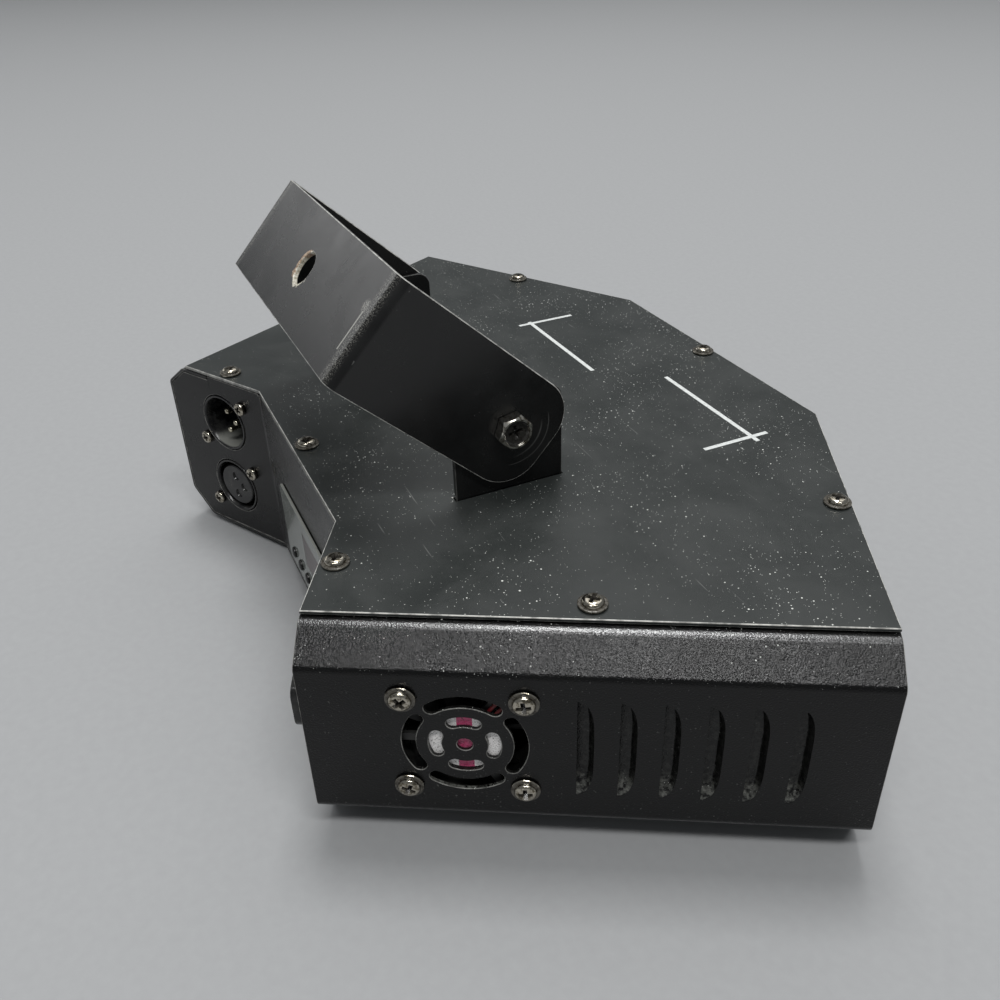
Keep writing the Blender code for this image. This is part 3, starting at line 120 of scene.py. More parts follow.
def join(tree, made, inputs):
    for name, value in inputs.items():
        if isinstance(value, bpy.types.NodeSocket):
            tree.links.new(value, made.inputs[name])
        else:
            made.inputs[name].default_value = value


def noise(tree, here, scale, detail, roughness=0.5, distortion=0.0):
    """Clouds from 0 to 1, their scale the number of them in a metre."""
    return add(tree, "TexNoise", {"Vector": here, "Scale": scale, "Detail": detail, "Roughness": roughness,
                                  "Distortion": distortion}).outputs["Fac"]


def ramp(tree, value, low, high, least=0.0, most=1.0):
    """A value between low and high, brought to between least and most."""
    return add(tree, "MapRange", {"Value": value, "From Min": low, "From Max": high, "To Min": least,
                                  "To Max": most}).outputs[0]


def calc(tree, operation, *values):
    return add(tree, "Math", dict(enumerate(values)), operation=operation).outputs[0]


def mix(tree, share, first, second):
    """A share of the second colour over the first, each a hex code or a socket."""
    first, second = (srgb(colour) if isinstance(colour, str) else colour for colour in (first, second))
    return add(tree, "Mix", {0: share, 6: first, 7: second}, data_type="RGBA").outputs[2]


def bump(tree, strength, distance, height):
    return add(tree, "Bump", {"Strength": strength, "Distance": distance, "Height": height}).outputs[0]


def attribute(tree, name):
    return add(tree, "Attribute", {}, attribute_name=name).outputs["Fac"]


def own_axis(tree, here, own, axis):
    """Where a point lies along one axis of a piece's own frame."""
    dot = add(tree, "VectorMath", {0: here, 1: tuple(own[axis][:3])}, operation="DOT_PRODUCT")
    return calc(tree, "ADD", dot.outputs["Value"], own[axis][3])


def distance(tree, first, second):
    """The length of a flat vector."""
    flat = add(tree, "CombineXYZ", {0: first, 1: second, 2: 0.0})
    return add(tree, "VectorMath", {0: flat.outputs[0]}, operation="LENGTH").outputs["Value"]


def powder_coat(name, code, roughness, specular, peel, specks_and_glints, spacing, haze, scratches, bare):
    """Epoxy powder coat on sheet steel: satin, with the melt's orange peel, dust that sits on it, rubbed edges, and
    pale specks and edges that are partly painted glints and highlights.
    """
    made, tree, shader, here = material(name)
    # The melt's cells are 0.4 mm wide
    cells = noise(tree, here, 2400.0, 1.5, 0.4)
    # Handling marks are some centimetres wide
    marks = noise(tree, here, 45.0, 5.0, 0.62, 0.4)
    base = mix(tree, ramp(tree, marks, 0.42, 0.80, 0.0, haze), code, "#8a8c8a")
    # Dust specks up to 0.7 and 0.4 mm across, where a random value of each cell allows one,
    # and more of them lie on a face that looks up than on a wall; on the housing they are also painted glints
    thick = ramp(tree, noise(tree, here, 24.0, 2.0), 0.35, 0.65, 0.45, 1.0)
    level = add(tree, "SeparateXYZ", {0: here.node.outputs["Normal"]}).outputs["Z"]
    lies = ramp(tree, level, 0.1, 0.7, 0.1 * specks_and_glints, specks_and_glints)
    for cell, size, share in ((spacing, 0.00033, 0.82), (0.5 * spacing, 0.00017, 0.70)):
        spots = add(tree, "TexVoronoi", {"Vector": here, "Scale": 1 / cell, "Randomness": 1.0})
        chance = add(tree, "SeparateColor", {0: spots.outputs["Color"]}).outputs[0]
        reach = calc(tree, "MULTIPLY", ramp(tree, chance, share, 1.0, 0.0, size / cell), thick)
        inside = calc(tree, "LESS_THAN", spots.outputs["Distance"], reach)
        base = mix(tree, calc(tree, "MULTIPLY", inside, lies), base, "#e4e6e0")
    # Fine scratches, 0.1 mm wide and some centimetres long, in two directions
    for degrees, threshold in ((24.0, 0.790), (-57.0, 0.785)):
        path = add(tree, "Mapping", {"Vector": here, "Rotation": (0.3, 0.2, math.radians(degrees)),
                                     "Scale": (45.0, 1100.0, 1100.0)})
        lines = noise(tree, path.outputs[0], 1.0, 1.0, 0.5, 0.2)
        base = mix(tree, ramp(tree, lines, threshold, threshold + 0.03, 0.0, scratches), base, "#9a9b98")
    # Dust lies in the louvres and rubbed edges show, both where the piece's attributes say; the pale edges are partly
    # wear and partly painted highlights
    clumps = ramp(tree, noise(tree, here, 700.0, 4.0, 0.7), 0.40, 0.70)
    base = mix(tree, calc(tree, "MULTIPLY", attribute(tree, "dust_and_painted_light"), clumps), base, "#6f706b")
    rubs_and_highlights = ramp(tree, noise(tree, here, 260.0, 4.0, 0.65), 0.36, 0.58, 0.3 * bare, bare)
    base = mix(tree, calc(tree, "MULTIPLY", attribute(tree, "edge"), rubs_and_highlights), base, "#cbcac4")
    # The housing's upper bends are rubbed smooth and shine more
    bend = attribute(tree, "bend")
    dull = ramp(tree, marks, 0.35, 0.75, roughness - 0.05, roughness + 0.10)
    join(tree, shader, {"Base Color": base, "Roughness": dull,
                        "Specular IOR Level": ramp(tree, bend, 0.0, 1.0, specular, 1.0),
                        "Normal": bump(tree, ramp(tree, bend, 0.0, 1.0, 1.0, 0.70), peel, cells)})
    return made


def plated_steel(name, code, roughness):
    """Nickel-plated cold-headed steel: bright, faintly mottled by stains and painted reflections, with painted black
    shade in the recess.
    """
    made, tree, shader, here = material(name)
    # The dark mottles are partly stains and partly painted reflections of a patchy room; the same noise varies
    # roughness and bump
    stain_and_reflection = noise(tree, here, 900.0, 4.0, 0.6)
    base = mix(tree, ramp(tree, stain_and_reflection, 0.47, 0.62), code, "#6a6354")
    # Painted shade: where the attribute says, the recess is painted black and loses its metal shine
    painted_shade = attribute(tree, "painted_shade")
    join(tree, shader, {"Base Color": mix(tree, painted_shade, base, "#0b0907"),
                        "Roughness": ramp(tree, stain_and_reflection, 0.3, 0.8, roughness, roughness + 0.22),
                        "Metallic": calc(tree, "SUBTRACT", 1.0, painted_shade), "Normal": bump(tree, 0.4, 0.00008, stain_and_reflection)})
    return made


def machined_metal(name, code, roughness, scale, stretch):
    """Bare metal with the fine lines of its rolling or milling, some tenths of a millimetre apart."""
    made, tree, shader, here = material(name)
    path = add(tree, "Mapping", {"Vector": here, "Scale": stretch})
    lines = noise(tree, path.outputs[0], scale, 3.0)
    join(tree, shader, {"Base Color": mix(tree, ramp(tree, lines, 0.3, 0.7, 0.0, 0.35), code, "#6d6f70"),
                        "Metallic": 1.0, "Roughness": ramp(tree, lines, 0.3, 0.7, roughness - 0.06, roughness + 0.10),
                        "Normal": bump(tree, 0.12, 0.00004, lines)})
    return made


def moulded_plastic(name, code, roughness, texture, dusty, specular=0.4):
    """Injection-moulded plastic with the spark-eroded texture of its mould, a film of dust, and pale areas where an
    attribute says, which are painted light on the socket's flare and the overlay's rim.
    """
    made, tree, shader, here = material(name)
    film = noise(tree, here, 160.0, 4.0, 0.65)
    base = mix(tree, ramp(tree, film, 0.45, 0.80, 0.0, dusty), code, "#85857f")
    join(tree, shader, {"Base Color": mix(tree, attribute(tree, "dust_and_painted_light"), base, "#8d8e88"),
                        "Roughness": ramp(tree, film, 0.3, 0.8, roughness - 0.04, roughness + 0.12),
                        "Specular IOR Level": specular,
                        "Normal": bump(tree, texture, 0.00008, noise(tree, here, 2600.0, 2.0))})
    return made


def solder_mask():
    """Green solder mask over copper tracks: the tracks stand out a little lighter."""
    made, tree, shader, here = material("solder_mask")
    tracks = add(tree, "TexVoronoi", {"Vector": here, "Scale": 260.0, "Randomness": 0.35}, feature="DISTANCE_TO_EDGE")
    copper = calc(tree, "LESS_THAN", tracks.outputs["Distance"], 0.16)
    join(tree, shader, {"Base Color": mix(tree, copper, "#1d4a2a", "#2f6b3c"), "Roughness": 0.35,
                        "Normal": bump(tree, 0.3, 0.00006, copper)})
    return made


def clear_sheet(name, code, scale, detail, polish, haze, transmission, index):
    """A clear pane with a breath of dust on it."""
    made, tree, shader, here = material(name)
    join(tree, shader, {"Base Color": srgb(code), "Transmission Weight": transmission, "IOR": index,
                        "Roughness": ramp(tree, noise(tree, here, scale, detail, 0.7), 0.4, 0.8, polish, haze)})
    return made


def hub_label(side):
    """Coated paper label of a fan: pale, with one magenta band down the middle and a rubbed surface."""
    made, tree, shader, here = material("hub_label_paper_" + side)
    across = own_axis(tree, here, fan_place(side).inverted(), 0)
    band = calc(tree, "LESS_THAN", calc(tree, "ABSOLUTE", across), 0.0021)
    faded = ramp(tree, noise(tree, here, 1400.0, 4.0, 0.7), 0.35, 0.75, 0.0, 0.55)
    printed = mix(tree, band, mix(tree, faded, "#fbf9f7", "#c0bbb8"), mix(tree, faded, "#c12f68", "#e09ab4"))
    dirt = ramp(tree, noise(tree, here, 2300.0, 3.0, 0.6), 0.54, 0.66, 0.0, 0.8)
    join(tree, shader, {"Base Color": mix(tree, dirt, printed, "#2b2a29"), "Roughness": 0.45})
    return made


def screen_ink():
    """White screen printing ink, rubbed thin in places."""
    made, tree, shader, here = material("screen_ink")
    thin = ramp(tree, noise(tree, here, 900.0, 4.0, 0.7), 0.45, 0.80, 0.0, 0.6)
    join(tree, shader, {"Base Color": mix(tree, thin, "#d5d8d6", "#7b7d7c"), "Roughness": 0.45})
    return made


# Shapes

def box(bm, x, y, z, matrix=None):
    """A box between the low and high values of each axis."""
    size = Vector((x[1] - x[0], y[1] - y[0], z[1] - z[0]))
    middle = Vector((x[0] + x[1], y[0] + y[1], z[0] + z[1])) / 2
    place = Matrix.Translation(middle) @ Matrix.Diagonal((*size, 1.0))
    bmesh.ops.create_cube(bm, size=1.0, matrix=(matrix or Matrix()) @ place)


def block(bm, x, y, half_x, half_y, z, matrix=None):
    """A box round a point in X and Y."""
    box(bm, (x - half_x, x + half_x), (y - half_y, y + half_y), z, matrix)


def cylinder(bm, radius, low, high, matrix=None, segments=48, top=None):
    place = moved(matrix or Matrix(), 0, 0, (low + high) / 2)
    bmesh.ops.create_cone(bm, cap_ends=True, segments=segments, radius1=radius,
                          radius2=radius if top is None else top, depth=high - low, matrix=place)


def new_verts(geom):
    return [item for item in geom if isinstance(item, bmesh.types.BMVert)]


def prism(bm, outline, low, high, matrix=None):
    """A flat outline in X and Y, counter-clockwise, filled between two heights."""
    base = bm.faces.new([bm.verts.new((x, y, low)) for x, y in outline])
    verts = list(base.verts)
    top = new_verts(bmesh.ops.extrude_face_region(bm, geom=[base])["geom"])
    bmesh.ops.translate(bm, verts=top, vec=(0, 0, high - low))
    verts += top
    faces = dict.fromkeys(face for vert in verts for face in vert.link_faces)
    bmesh.ops.recalc_face_normals(bm, faces=list(faces))
    bmesh.ops.transform(bm, matrix=matrix or Matrix(), verts=verts)
    return verts


def fresh(make, *values, **options):
    """A new shape from one of the functions above."""
    bm = bmesh.new()
    make(bm, *values, **options)
    return bm


def lathe(profile, segments=48, x=0.0, y=0.0):
    """A closed solid turned round Z from radius and height in millimetres, from axis to axis."""
    bm = bmesh.new()
    verts = [bm.verts.new((r / 1000, 0, z / 1000)) for r, z in profile]
    edges = [bm.edges.new(pair) for pair in zip(verts, verts[1:])]
    bmesh.ops.spin(bm, geom=verts + edges, cent=(0, 0, 0), axis=(0, 0, 1), angle=2 * math.pi,
                   steps=segments, use_merge=True)
    bmesh.ops.remove_doubles(bm, verts=bm.verts, dist=1e-6)
    bmesh.ops.recalc_face_normals(bm, faces=bm.faces)
    if x or y:
        bmesh.ops.translate(bm, verts=bm.verts, vec=(x, y, 0))
    return bm


def arc(x, y, radius, first, last, steps):
    """Points along a circular arc round x and y, angles in degrees, both ends included."""
    angles = [math.radians(first + (last - first) * step / steps) for step in range(steps + 1)]
    return [(x + radius * math.cos(a), y + radius * math.sin(a)) for a in angles]


def rounded_box(width, height, radius, steps=8):
    outline = []
    for turn, (side, level) in enumerate(((1, 1), (-1, 1), (-1, -1), (1, -1))):
        outline += arc(side * (width / 2 - radius), level * (height / 2 - radius), radius,
                       turn * 90, turn * 90 + 90, steps)
    return outline


def arc_slot(outer, width, middle, half, steps=20, end_steps=10):
    """Outline of an arc-shaped slot with round ends, angles in degrees."""
    cap = width / 2
    mean = outer - cap
    reach = half - math.degrees(cap / mean)
    outline = arc(0, 0, outer, middle - reach, middle + reach, steps)
    for end, inner in ((middle + reach, True), (middle - reach, False)):
        turn = math.radians(end)
        start = end if inner else end + 180
        outline += arc(mean * math.cos(turn), mean * math.sin(turn), cap, start, start + 180, end_steps)[1:-1]
        if inner:
            outline += arc(0, 0, outer - width, middle + reach, middle - reach, steps)
    return outline


def tidy(bm):
    """Merge doubles and join flat neighbours."""
    bmesh.ops.remove_doubles(bm, verts=bm.verts, dist=2e-6)
    bmesh.ops.dissolve_degenerate(bm, edges=bm.edges, dist=2e-6)
    bmesh.ops.dissolve_limit(bm, angle_limit=math.radians(0.6), use_dissolve_boundaries=False,
                             verts=bm.verts, edges=bm.edges)


def shape_of(mesh):
    bm = bmesh.new()
    bm.from_mesh(mesh)
    return bm


def copy_of(node):
    """The merged shape of a CAD node, to be refined."""
    bm = shape_of(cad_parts[node].data)
    tidy(bm)
    return bm


def as_mesh(bm, name="shape"):
    mesh = bpy.data.meshes.new(name)
    bm.to_mesh(mesh)
    bm.free()
    return mesh


def as_object(mesh):
    made = bpy.data.objects.new(mesh.name, mesh)
    bpy.context.scene.collection.objects.link(made)
    return made


def shaped(host):
    """The shape of an object with its modifiers; the object goes."""
    bpy.context.view_layer.update()
    mesh = bpy.data.meshes.new_from_object(host.evaluated_get(bpy.context.evaluated_depsgraph_get()))
    bm = shape_of(mesh)
    bpy.data.meshes.remove(mesh)
    bpy.data.objects.remove(host)
    return bm


def combine(bm, tool, operation="DIFFERENCE"):
    """One shape cut from another or joined to it."""
    host = as_object(as_mesh(bm))
    other = as_object(as_mesh(tool))
    step = host.modifiers.new("combine", "BOOLEAN")
    step.operation = operation
    step.solver = "EXACT"
    step.object = other
    made = shaped(host)
    bpy.data.objects.remove(other)
    tidy(made)
    return made


def folded(bm, thickness):
    """An open skin given its sheet's thickness, inwards."""
    host = as_object(as_mesh(bm))
    step = host.modifiers.new("sheet", "SOLIDIFY")
    step.thickness = thickness
    step.offset = -1
    step.solidify_mode = "NON_MANIFOLD"
    step.nonmanifold_thickness_mode = "CONSTRAINTS"
    step.nonmanifold_boundary_mode = "NONE"
    return shaped(host)


def joined(shapes):
    """Several shapes as one, each a closed shell of its own."""
    whole = bmesh.new()
    for bm in shapes:
        mesh = as_mesh(bm)
        whole.from_mesh(mesh)
        bpy.data.meshes.remove(mesh)
    return whole


def pulled(bm, edge, shift):
    """An edge pulled out into a new face; gives the face's far edge."""
    verts = new_verts(bmesh.ops.extrude_edge_only(bm, edges=[edge])["geom"])
    bmesh.ops.translate(bm, verts=verts, vec=shift)
    return bm.edges.get(verts)


def bevel(bm, geom, width, segments, affect="EDGES"):
    """Round some edges or corners; gives the faces made."""
    return bmesh.ops.bevel(bm, geom=geom, offset=width, offset_type="OFFSET", segments=segments, profile=0.5,
                           affect=affect, clamp_overlap=False, material=-1)["faces"]


def soften(bm, width, segments=2, least=28, where=None, rubbed=1.0, longer=0.0):
    """Round the edges that are sharper than an angle, and give the faces made the attribute edge: pale wear and painted
    highlight.
    """
    mark = bm.loops.layers.float.get("edge") or bm.loops.layers.float.new("edge")
    limit = math.radians(least)
    edges = [e for e in bm.edges if len(e.link_faces) == 2 and e.calc_face_angle() > limit
             and e.calc_length() >= longer and (where is None or where(e))]
    for face in bevel(bm, edges, width, segments):
        give(face, mark, rubbed)
    return bm


def give(face, mark, value):
    for loop in face.loops:
        loop[mark] = value


def rise(edge):
    return abs(edge.verts[0].co.z - edge.verts[1].co.z)


def paint(bm, index, test=lambda middle: True):
    """Give the faces whose middle passes a test another of the piece's materials."""
    for face in bm.faces:
        if test(face.calc_center_median()):
            face.material_index = index
    return bm


def face_outwards(bm, place):
    """Keep the faces outward when a place mirrors the shape."""
    if place.determinant() < 0:
        bmesh.ops.reverse_faces(bm, faces=bm.faces)


def piece(name, bm, materials, nodes=(), place=None, body="housing", smooth=38):
    """A finished piece: placed in its mesh, shaded, painted, and riding on its body."""
    if place is not None:
        bmesh.ops.transform(bm, matrix=place, verts=bm.verts)
        face_outwards(bm, place)
    mesh = as_mesh(bm, name)
    mesh.shade_smooth()
    mesh.set_sharp_from_angle(angle=math.radians(smooth))
    for finish in materials:
        mesh.materials.append(finish)
    made = as_object(mesh)
    step = made.modifiers.new("flat_faces", "WEIGHTED_NORMAL")
    step.keep_sharp = True
    step.weight = 100
    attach(made, body)
    if nodes:
        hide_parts(*nodes)


# Finishes
# Cover: dull dark grey under a film and specks of dust, its pale edges partly painted highlight. Housing: black,
# grainy, glossy where it bends, its pale specks partly painted glints.
# Yoke and lugs: smoother and glossier black, scratched.
COVER_COAT = powder_coat("satin_powder_coat_cover", "#292c2b", 0.37, 0.40, 0.00003, 0.80, 0.0012, 0.06, 0.25, 0.95)
HOUSING_COAT = powder_coat("textured_powder_coat_housing", "#080808", 0.22, 0.30, 0.00015, 0.65, 0.0012, 0.0, 0.20,
                           0.40)
YOKE_COAT = powder_coat("semi_gloss_powder_coat_yoke", "#0b0b0b", 0.24, 0.50, 0.00001, 0.30, 0.0050, 0.03, 0.22, 0.85)
# Screws: warm bright metal. Bolts: cooler and brighter. Contacts: slightly yellow.
NICKEL = plated_steel("nickel_plated_steel", "#b9b3a6", 0.10)
BOLT_PLATE = plated_steel("zinc_plated_bolt", "#d9d5cc", 0.10)
PIN_PLATE = plated_steel("silvered_brass_contacts", "#cfc9b6", 0.18)
# Plastics: dull black fan, smoother black sockets and buttons, grey mirror-like overlay, matt rubber
FAN_PLASTIC = moulded_plastic("glass_filled_nylon", "#0d0d0e", 0.42, 0.35, 0.14)
SOCKET_PLASTIC = moulded_plastic("moulded_nylon_sockets", "#19191a", 0.20, 0.05, 0.16)
OVERLAY_FILM = moulded_plastic("glossy_polyester_overlay", "#888c87", 0.06, 0.02, 0.14, 0.9)
BUTTON_PLASTIC = moulded_plastic("polished_abs_buttons", "#121212", 0.22, 0.03, 0.12)
DISPLAY_FACE = moulded_plastic("display_face", "#1a1516", 0.25, 0.05, 0.05)
SEGMENTS = moulded_plastic("display_segments_unlit", "#8d8984", 0.35, 0.05, 0.0)
RUBBER = moulded_plastic("moulded_rubber", "#1a1a1a", 0.75, 0.60, 0.35)
TAPE = moulded_plastic("transformer_tape", "#b58a2c", 0.40, 0.10, 0.15)
SLEEVE = moulded_plastic("capacitor_sleeve", "#1b2436", 0.30, 0.05, 0.12)
LEAD_RED = moulded_plastic("pvc_lead_red", "#5e1219", 0.35, 0.05, 0.15)
MASK = solder_mask()
# Metals inside: pale and lined, the mirrors near perfect
ALLOY = machined_metal("milled_aluminium", "#c3c5c6", 0.32, 900.0, (1.0, 1.0, 0.1))
ZINC = machined_metal("zinc_plated_sheet", "#a9acae", 0.36, 300.0, (1.0, 1.0, 1.0))
MOTOR_STEEL = machined_metal("motor_case_steel", "#7d7f81", 0.38, 500.0, (0.2, 1.0, 1.0))
SILVER = machined_metal("front_silvered_glass", "#e6e8ea", 0.05, 60.0, (1.0, 1.0, 1.0))
# Windows: clear. Display filter: dark red, glossy, the digits just show through.
GLASS = clear_sheet("float_glass", "#e4efec", 120.0, 5.0, 0.01, 0.10, 1.0, 1.52)
SMOKED_PANE = clear_sheet("smoked_acrylic", "#4a1c1e", 200.0, 4.0, 0.04, 0.14, 0.6, 1.49)

# The housing's sheets

LIP_OUT = 0.0024
LIP_IN = 0.0120
END_OUT = 0.0124
LIP_Z = BODY_H - INSET
END_RISE = [(LIP_OUT, 0), (END_OUT, 0.0105), (END_OUT, LIP_Z - 0.0077), (LIP_OUT, LIP_Z), (-LIP_IN, LIP_Z)]
END_L = 0.152846
FAN_X = END_L / 2 - 0.0434
FAN_Z = 0.0368
FAN_SIZE = 0.040
FAN_BORE_R = 0.0188
FAN_HUB_R = 0.0100
FAN_SCREW_OUT = 0.016       # half the screws' spacing
FAN_CORNERS = [(x * FAN_SCREW_OUT, y * FAN_SCREW_OUT) for x, y in ((1, 1), (-1, 1), (-1, -1), (1, -1))]
LOUVRE_COUNT = 6
LOUVRE_H = 0.0345
LOUVRE_W = 0.0045
LOUVRE_Z = 0.0365
LOUVRE_DEPTH = 0.0040
LOUVRE_FIRST = 0.0296
LOUVRE_PITCH = 0.011099


def fan_place(side):
    """Middle of a fan on its end wall's outer face."""
    place, hand = ENDS[side]
    return moved(place, hand * FAN_X, FAN_Z)


def louvre_width(height):
    """A D with round corners: full in the middle, closing at both ends."""
    share = min(1.0, abs(2 * height / LOUVRE_H))
    return LOUVRE_W * math.sqrt(max(0.0, 1 - share ** 4))


def louvre_cut():
    heights = [LOUVRE_H * (step / 40 - 0.5) * 1.002 for step in range(41)]
    outline = [(louvre_width(h) + 0.00002, h) for h in heights]
    outline += [(-0.00001, 0.465 * LOUVRE_H), (-0.00001, -0.465 * LOUVRE_H)]
    return fresh(prism, outline, -0.0016, 0.0006)


def ease(share):
    """A smooth step from 0 to 1."""
    share = max(0.0, min(1.0, share))
    return share * share * (3 - 2 * share)


def louvre_scoop():
    """The pressed-in metal of a louvre: a steep wall along its curve, a ramp at its foot, open at its straight edge."""
    bm = bmesh.new()
    bmesh.ops.create_grid(bm, x_segments=16, y_segments=48, size=0.5)
    for vert in bm.verts:
        share = (0.5 - vert.co.x) ** 1.7
        height = 0.992 * LOUVRE_H * vert.co.y
        wall = 0.86 * ease(share / 0.36) + 0.14 * share
        ends = ease((LOUVRE_H / 2 - height) / 0.0022) * ease((height + LOUVRE_H / 2) / 0.0075)
        dip = (LOUVRE_DEPTH - SHEET) * wall * ends
        vert.co = Vector(((louvre_width(height) + 0.0003) * (1 - share), height, -0.00001 - dip))
    bmesh.ops.recalc_face_normals(bm, faces=bm.faces)
    for face in bm.faces:
        if face.normal.z < 0:
            face.normal_flip()
    bmesh.ops.solidify(bm, geom=bm.faces, thickness=0.0009)
    bmesh.ops.recalc_face_normals(bm, faces=bm.faces)
    return bm


def louvres(make):
    """One shape for each louvre, its straight edge's middle at the origin, X towards its curve."""
    shapes = []
    for place, hand in ENDS.values():
        for index in range(LOUVRE_COUNT):
            x = hand * (FAN_X - LOUVRE_FIRST - index * LOUVRE_PITCH)
            own = moved(place, x, LOUVRE_Z) @ Matrix.Diagonal((-hand, 1, 1, 1))
            shape = make()
            bmesh.ops.transform(shape, matrix=own, verts=shape.verts)
            face_outwards(shape, own)
            shapes.append(shape)
    return joined(shapes)


def make_tray():
    """Floor and both end walls, folded from one sheet, with grilles and louvres."""
    bm = bmesh.new()
    plan = PLAN + [Vector((-p.x, p.y)) for p in reversed(PLAN)]
    floor = [bm.verts.new((p.x, p.y, FLOOR_Z)) for p in plan]
    bm.faces.new(floor[::-1])
    bends = []
    for first, hand in ((1, -1), (5, 1)):
        edge = bm.edges.get(floor[first:first + 2])
        out = Vector((hand * ALONG.x, ALONG.y, 0))
        before = (0.0, 0.0)
        for step, after in enumerate(END_RISE):
            if step:
                bends.append(edge)
            edge = pulled(bm, edge, out * (after[0] - before[0]) + UP * (after[1] - before[1]))
            before = after
    bmesh.ops.recalc_face_normals(bm, faces=bm.faces)
    if bm.faces[:][0].normal.z > 0:
        bmesh.ops.reverse_faces(bm, faces=bm.faces)
    bevel(bm, bends, 0.0013, 5)
    bm = folded(bm, SHEET)
    tidy(bm)
    holes = bmesh.new()
    for side, (place, hand) in ENDS.items():
        middle = fan_place(side)
        for quarter, corner in enumerate(FAN_CORNERS):
            prism(holes, arc_slot(FAN_BORE_R - 0.0018, 0.0038, quarter * 90, 41), *CUT, middle)
            prism(holes, arc_slot(FAN_HUB_R - 0.0002, 0.0035, quarter * 90, 34), *CUT, middle)
            cylinder(holes, SCREW_HOLE_R, *CUT, moved(middle, *corner), 24)
        cylinder(holes, 0.00215, *CUT, middle, 32)
        cylinder(holes, SCREW_HOLE_R, *CUT, turned(moved(place, 0, LIP_Z, -END_OUT - 0.0059), -90, "X"), 24)
    bm = combine(bm, holes)
    bm = combine(bm, louvres(louvre_cut))
    bm = combine(bm, louvres(louvre_scoop), "UNION")
    flat = [(place.inverted(), hand) for place, hand in ENDS.values()]
    grilles = [fan_place(side).inverted() for side in ENDS]

    def off_louvres(edge):
        """Outlines and the grille's rims, but not the louvres or the hidden part of the lips."""
        middle = (edge.verts[0].co + edge.verts[1].co) / 2
        for local, hand in flat:
            at = local @ middle
            if at.z > -0.006 and -0.076 < hand * at.x < FAN_X - 0.026 and abs(at.y - LOUVRE_Z) < 0.019:
                return False
            if -0.026 < at.z < -0.0115 and at.y > 0.060:
                return False
        return True

    def on_grille(edge):
        middle = (edge.verts[0].co + edge.verts[1].co) / 2
        return any(at.z > -0.004 and at.xy.length < 0.026 for at in (local @ middle for local in grilles))

    soften(bm, 0.00018, 2, 40, on_grille, 0.25)
    soften(bm, 0.00018, 2, 40, off_louvres, longer=0.00012)
    dust_and_painted_light = bm.verts.layers.float.new("dust_and_painted_light")
    bend = bm.verts.layers.float.new("bend")
    for vert in bm.verts:
        for local, hand in flat:
            at = local @ vert.co
            if math.hypot(at.y - LIP_Z, at.z + END_OUT - LIP_OUT) < 0.00125:
                vert[bend] = 1.0
            if -0.006 < at.z < -0.0001 and abs(at.x) < END_L / 2 and abs(at.y - LOUVRE_Z) < 0.018:
                vert[dust_and_painted_light] = 0.12 + 0.88 * ease((LOUVRE_Z - 0.009 - at.y) / 0.006)
    piece("tray", bm, [HOUSING_COAT], ["bottom_tray"])


def panel_sheet(node, places, radius, rim, longer):
    """A folded panel from the CAD, its round holes cut again finer, its folds and rims rounded."""
    holes = bmesh.new()
    for place in places:
        cylinder(holes, radius, -0.0040, 0.0020, place, 96)
    bm = combine(copy_of(node), holes)
    soften(bm, 0.0011, 5, 20, lambda edge: rise(edge) > 0.050 and abs(edge.calc_face_angle() - WING) < 0.02, 0.0)
    return soften(bm, rim, 2, 40, longer=longer)


SOCKET_X = 0.002859
SOCKETS = {"dmx_in": moved(REAR["far"], SOCKET_X, 0.0502), "dmx_out": moved(REAR["far"], SOCKET_X, 0.0211)}
INLET = moved(REAR["near"], 0, 0.044)


def make_panels():
    """Front panel with six windows, the rear panel with its sockets, inlet and menu, and the cover."""
    windows = [moved(place, hand * 0.028, PANEL_MID) for place in FRONT.values() for hand in (-1, 1)]
    front = panel_sheet("front_panel", windows, 0.01905, 0.00022, 0.0004)
    # The rims' rounding stays behind the outer face
    for vert in front.verts:
        vert.co.y = max(vert.co.y, FRONT_Y)
    piece("front_sheet", front, [HOUSING_COAT], ["front_panel"])
    rear = panel_sheet("rear_panel", SOCKETS.values(), 0.01203, 0.00018, 0.0005)
    piece("rear_sheet", rear, [HOUSING_COAT], ["rear_panel"])
    # The cover's outline is rubbed, its pale edges partly painted highlight, less so along the far rear facet
    cover = copy_of("top_cover")
    soften(cover, 0.00028, 3, 40, lambda edge: (edge.verts[0].co + edge.verts[1].co).xy.length > 0.12, longer=0.0015)
    mark = cover.loops.layers.float["edge"]
    local = REAR["far"].inverted()
    for face in cover.faces:
        at = local @ face.calc_center_median()
        if abs(at.z) < 0.004 and abs((local.to_3x3() @ face.normal).z) > 0.7:
            give(face, mark, 0.55)
    piece("cover_plate", cover, [COVER_COAT], ["top_cover"])


def make_print():
    """Two white lines and two cross bars, screen printed on the cover, in millimetres from its front."""
    crosses = []
    for crossing in (((5.6, 60.2, 49.7, 51.3), (57.7, 59.3, 31.3, 56.0)),
                     ((-67.8, -12.2, 28.5, 30.1), (-65.1, -63.5, 23.1, 48.2))):
        bars = [fresh(box, (x0 / 1000, x1 / 1000), (FRONT_Y + y0 / 1000, FRONT_Y + y1 / 1000),
                      (COVER_Z - 0.0001, COVER_Z + 0.00004)) for x0, x1, y0, y1 in crossing]
        crosses.append(combine(*bars, "UNION"))
    piece("cover_print", joined(crosses), [screen_ink()])


# Screws

def cross_recess(bm, reach, thick, low, high, taper, turn=0.0):
    """A cross recess that narrows to its bottom."""
    outline = []
    for quarter in range(4):
        corner = Matrix.Rotation(math.radians(90 * quarter + turn), 2)
        outline += [corner @ Vector(point) for point in ((reach, -thick), (reach, thick), (thick, thick))]
    for vert in prism(bm, outline, low, high):
        if vert.co.z < (low + high) / 2:
            vert.co.x *= taper
            vert.co.y *= taper


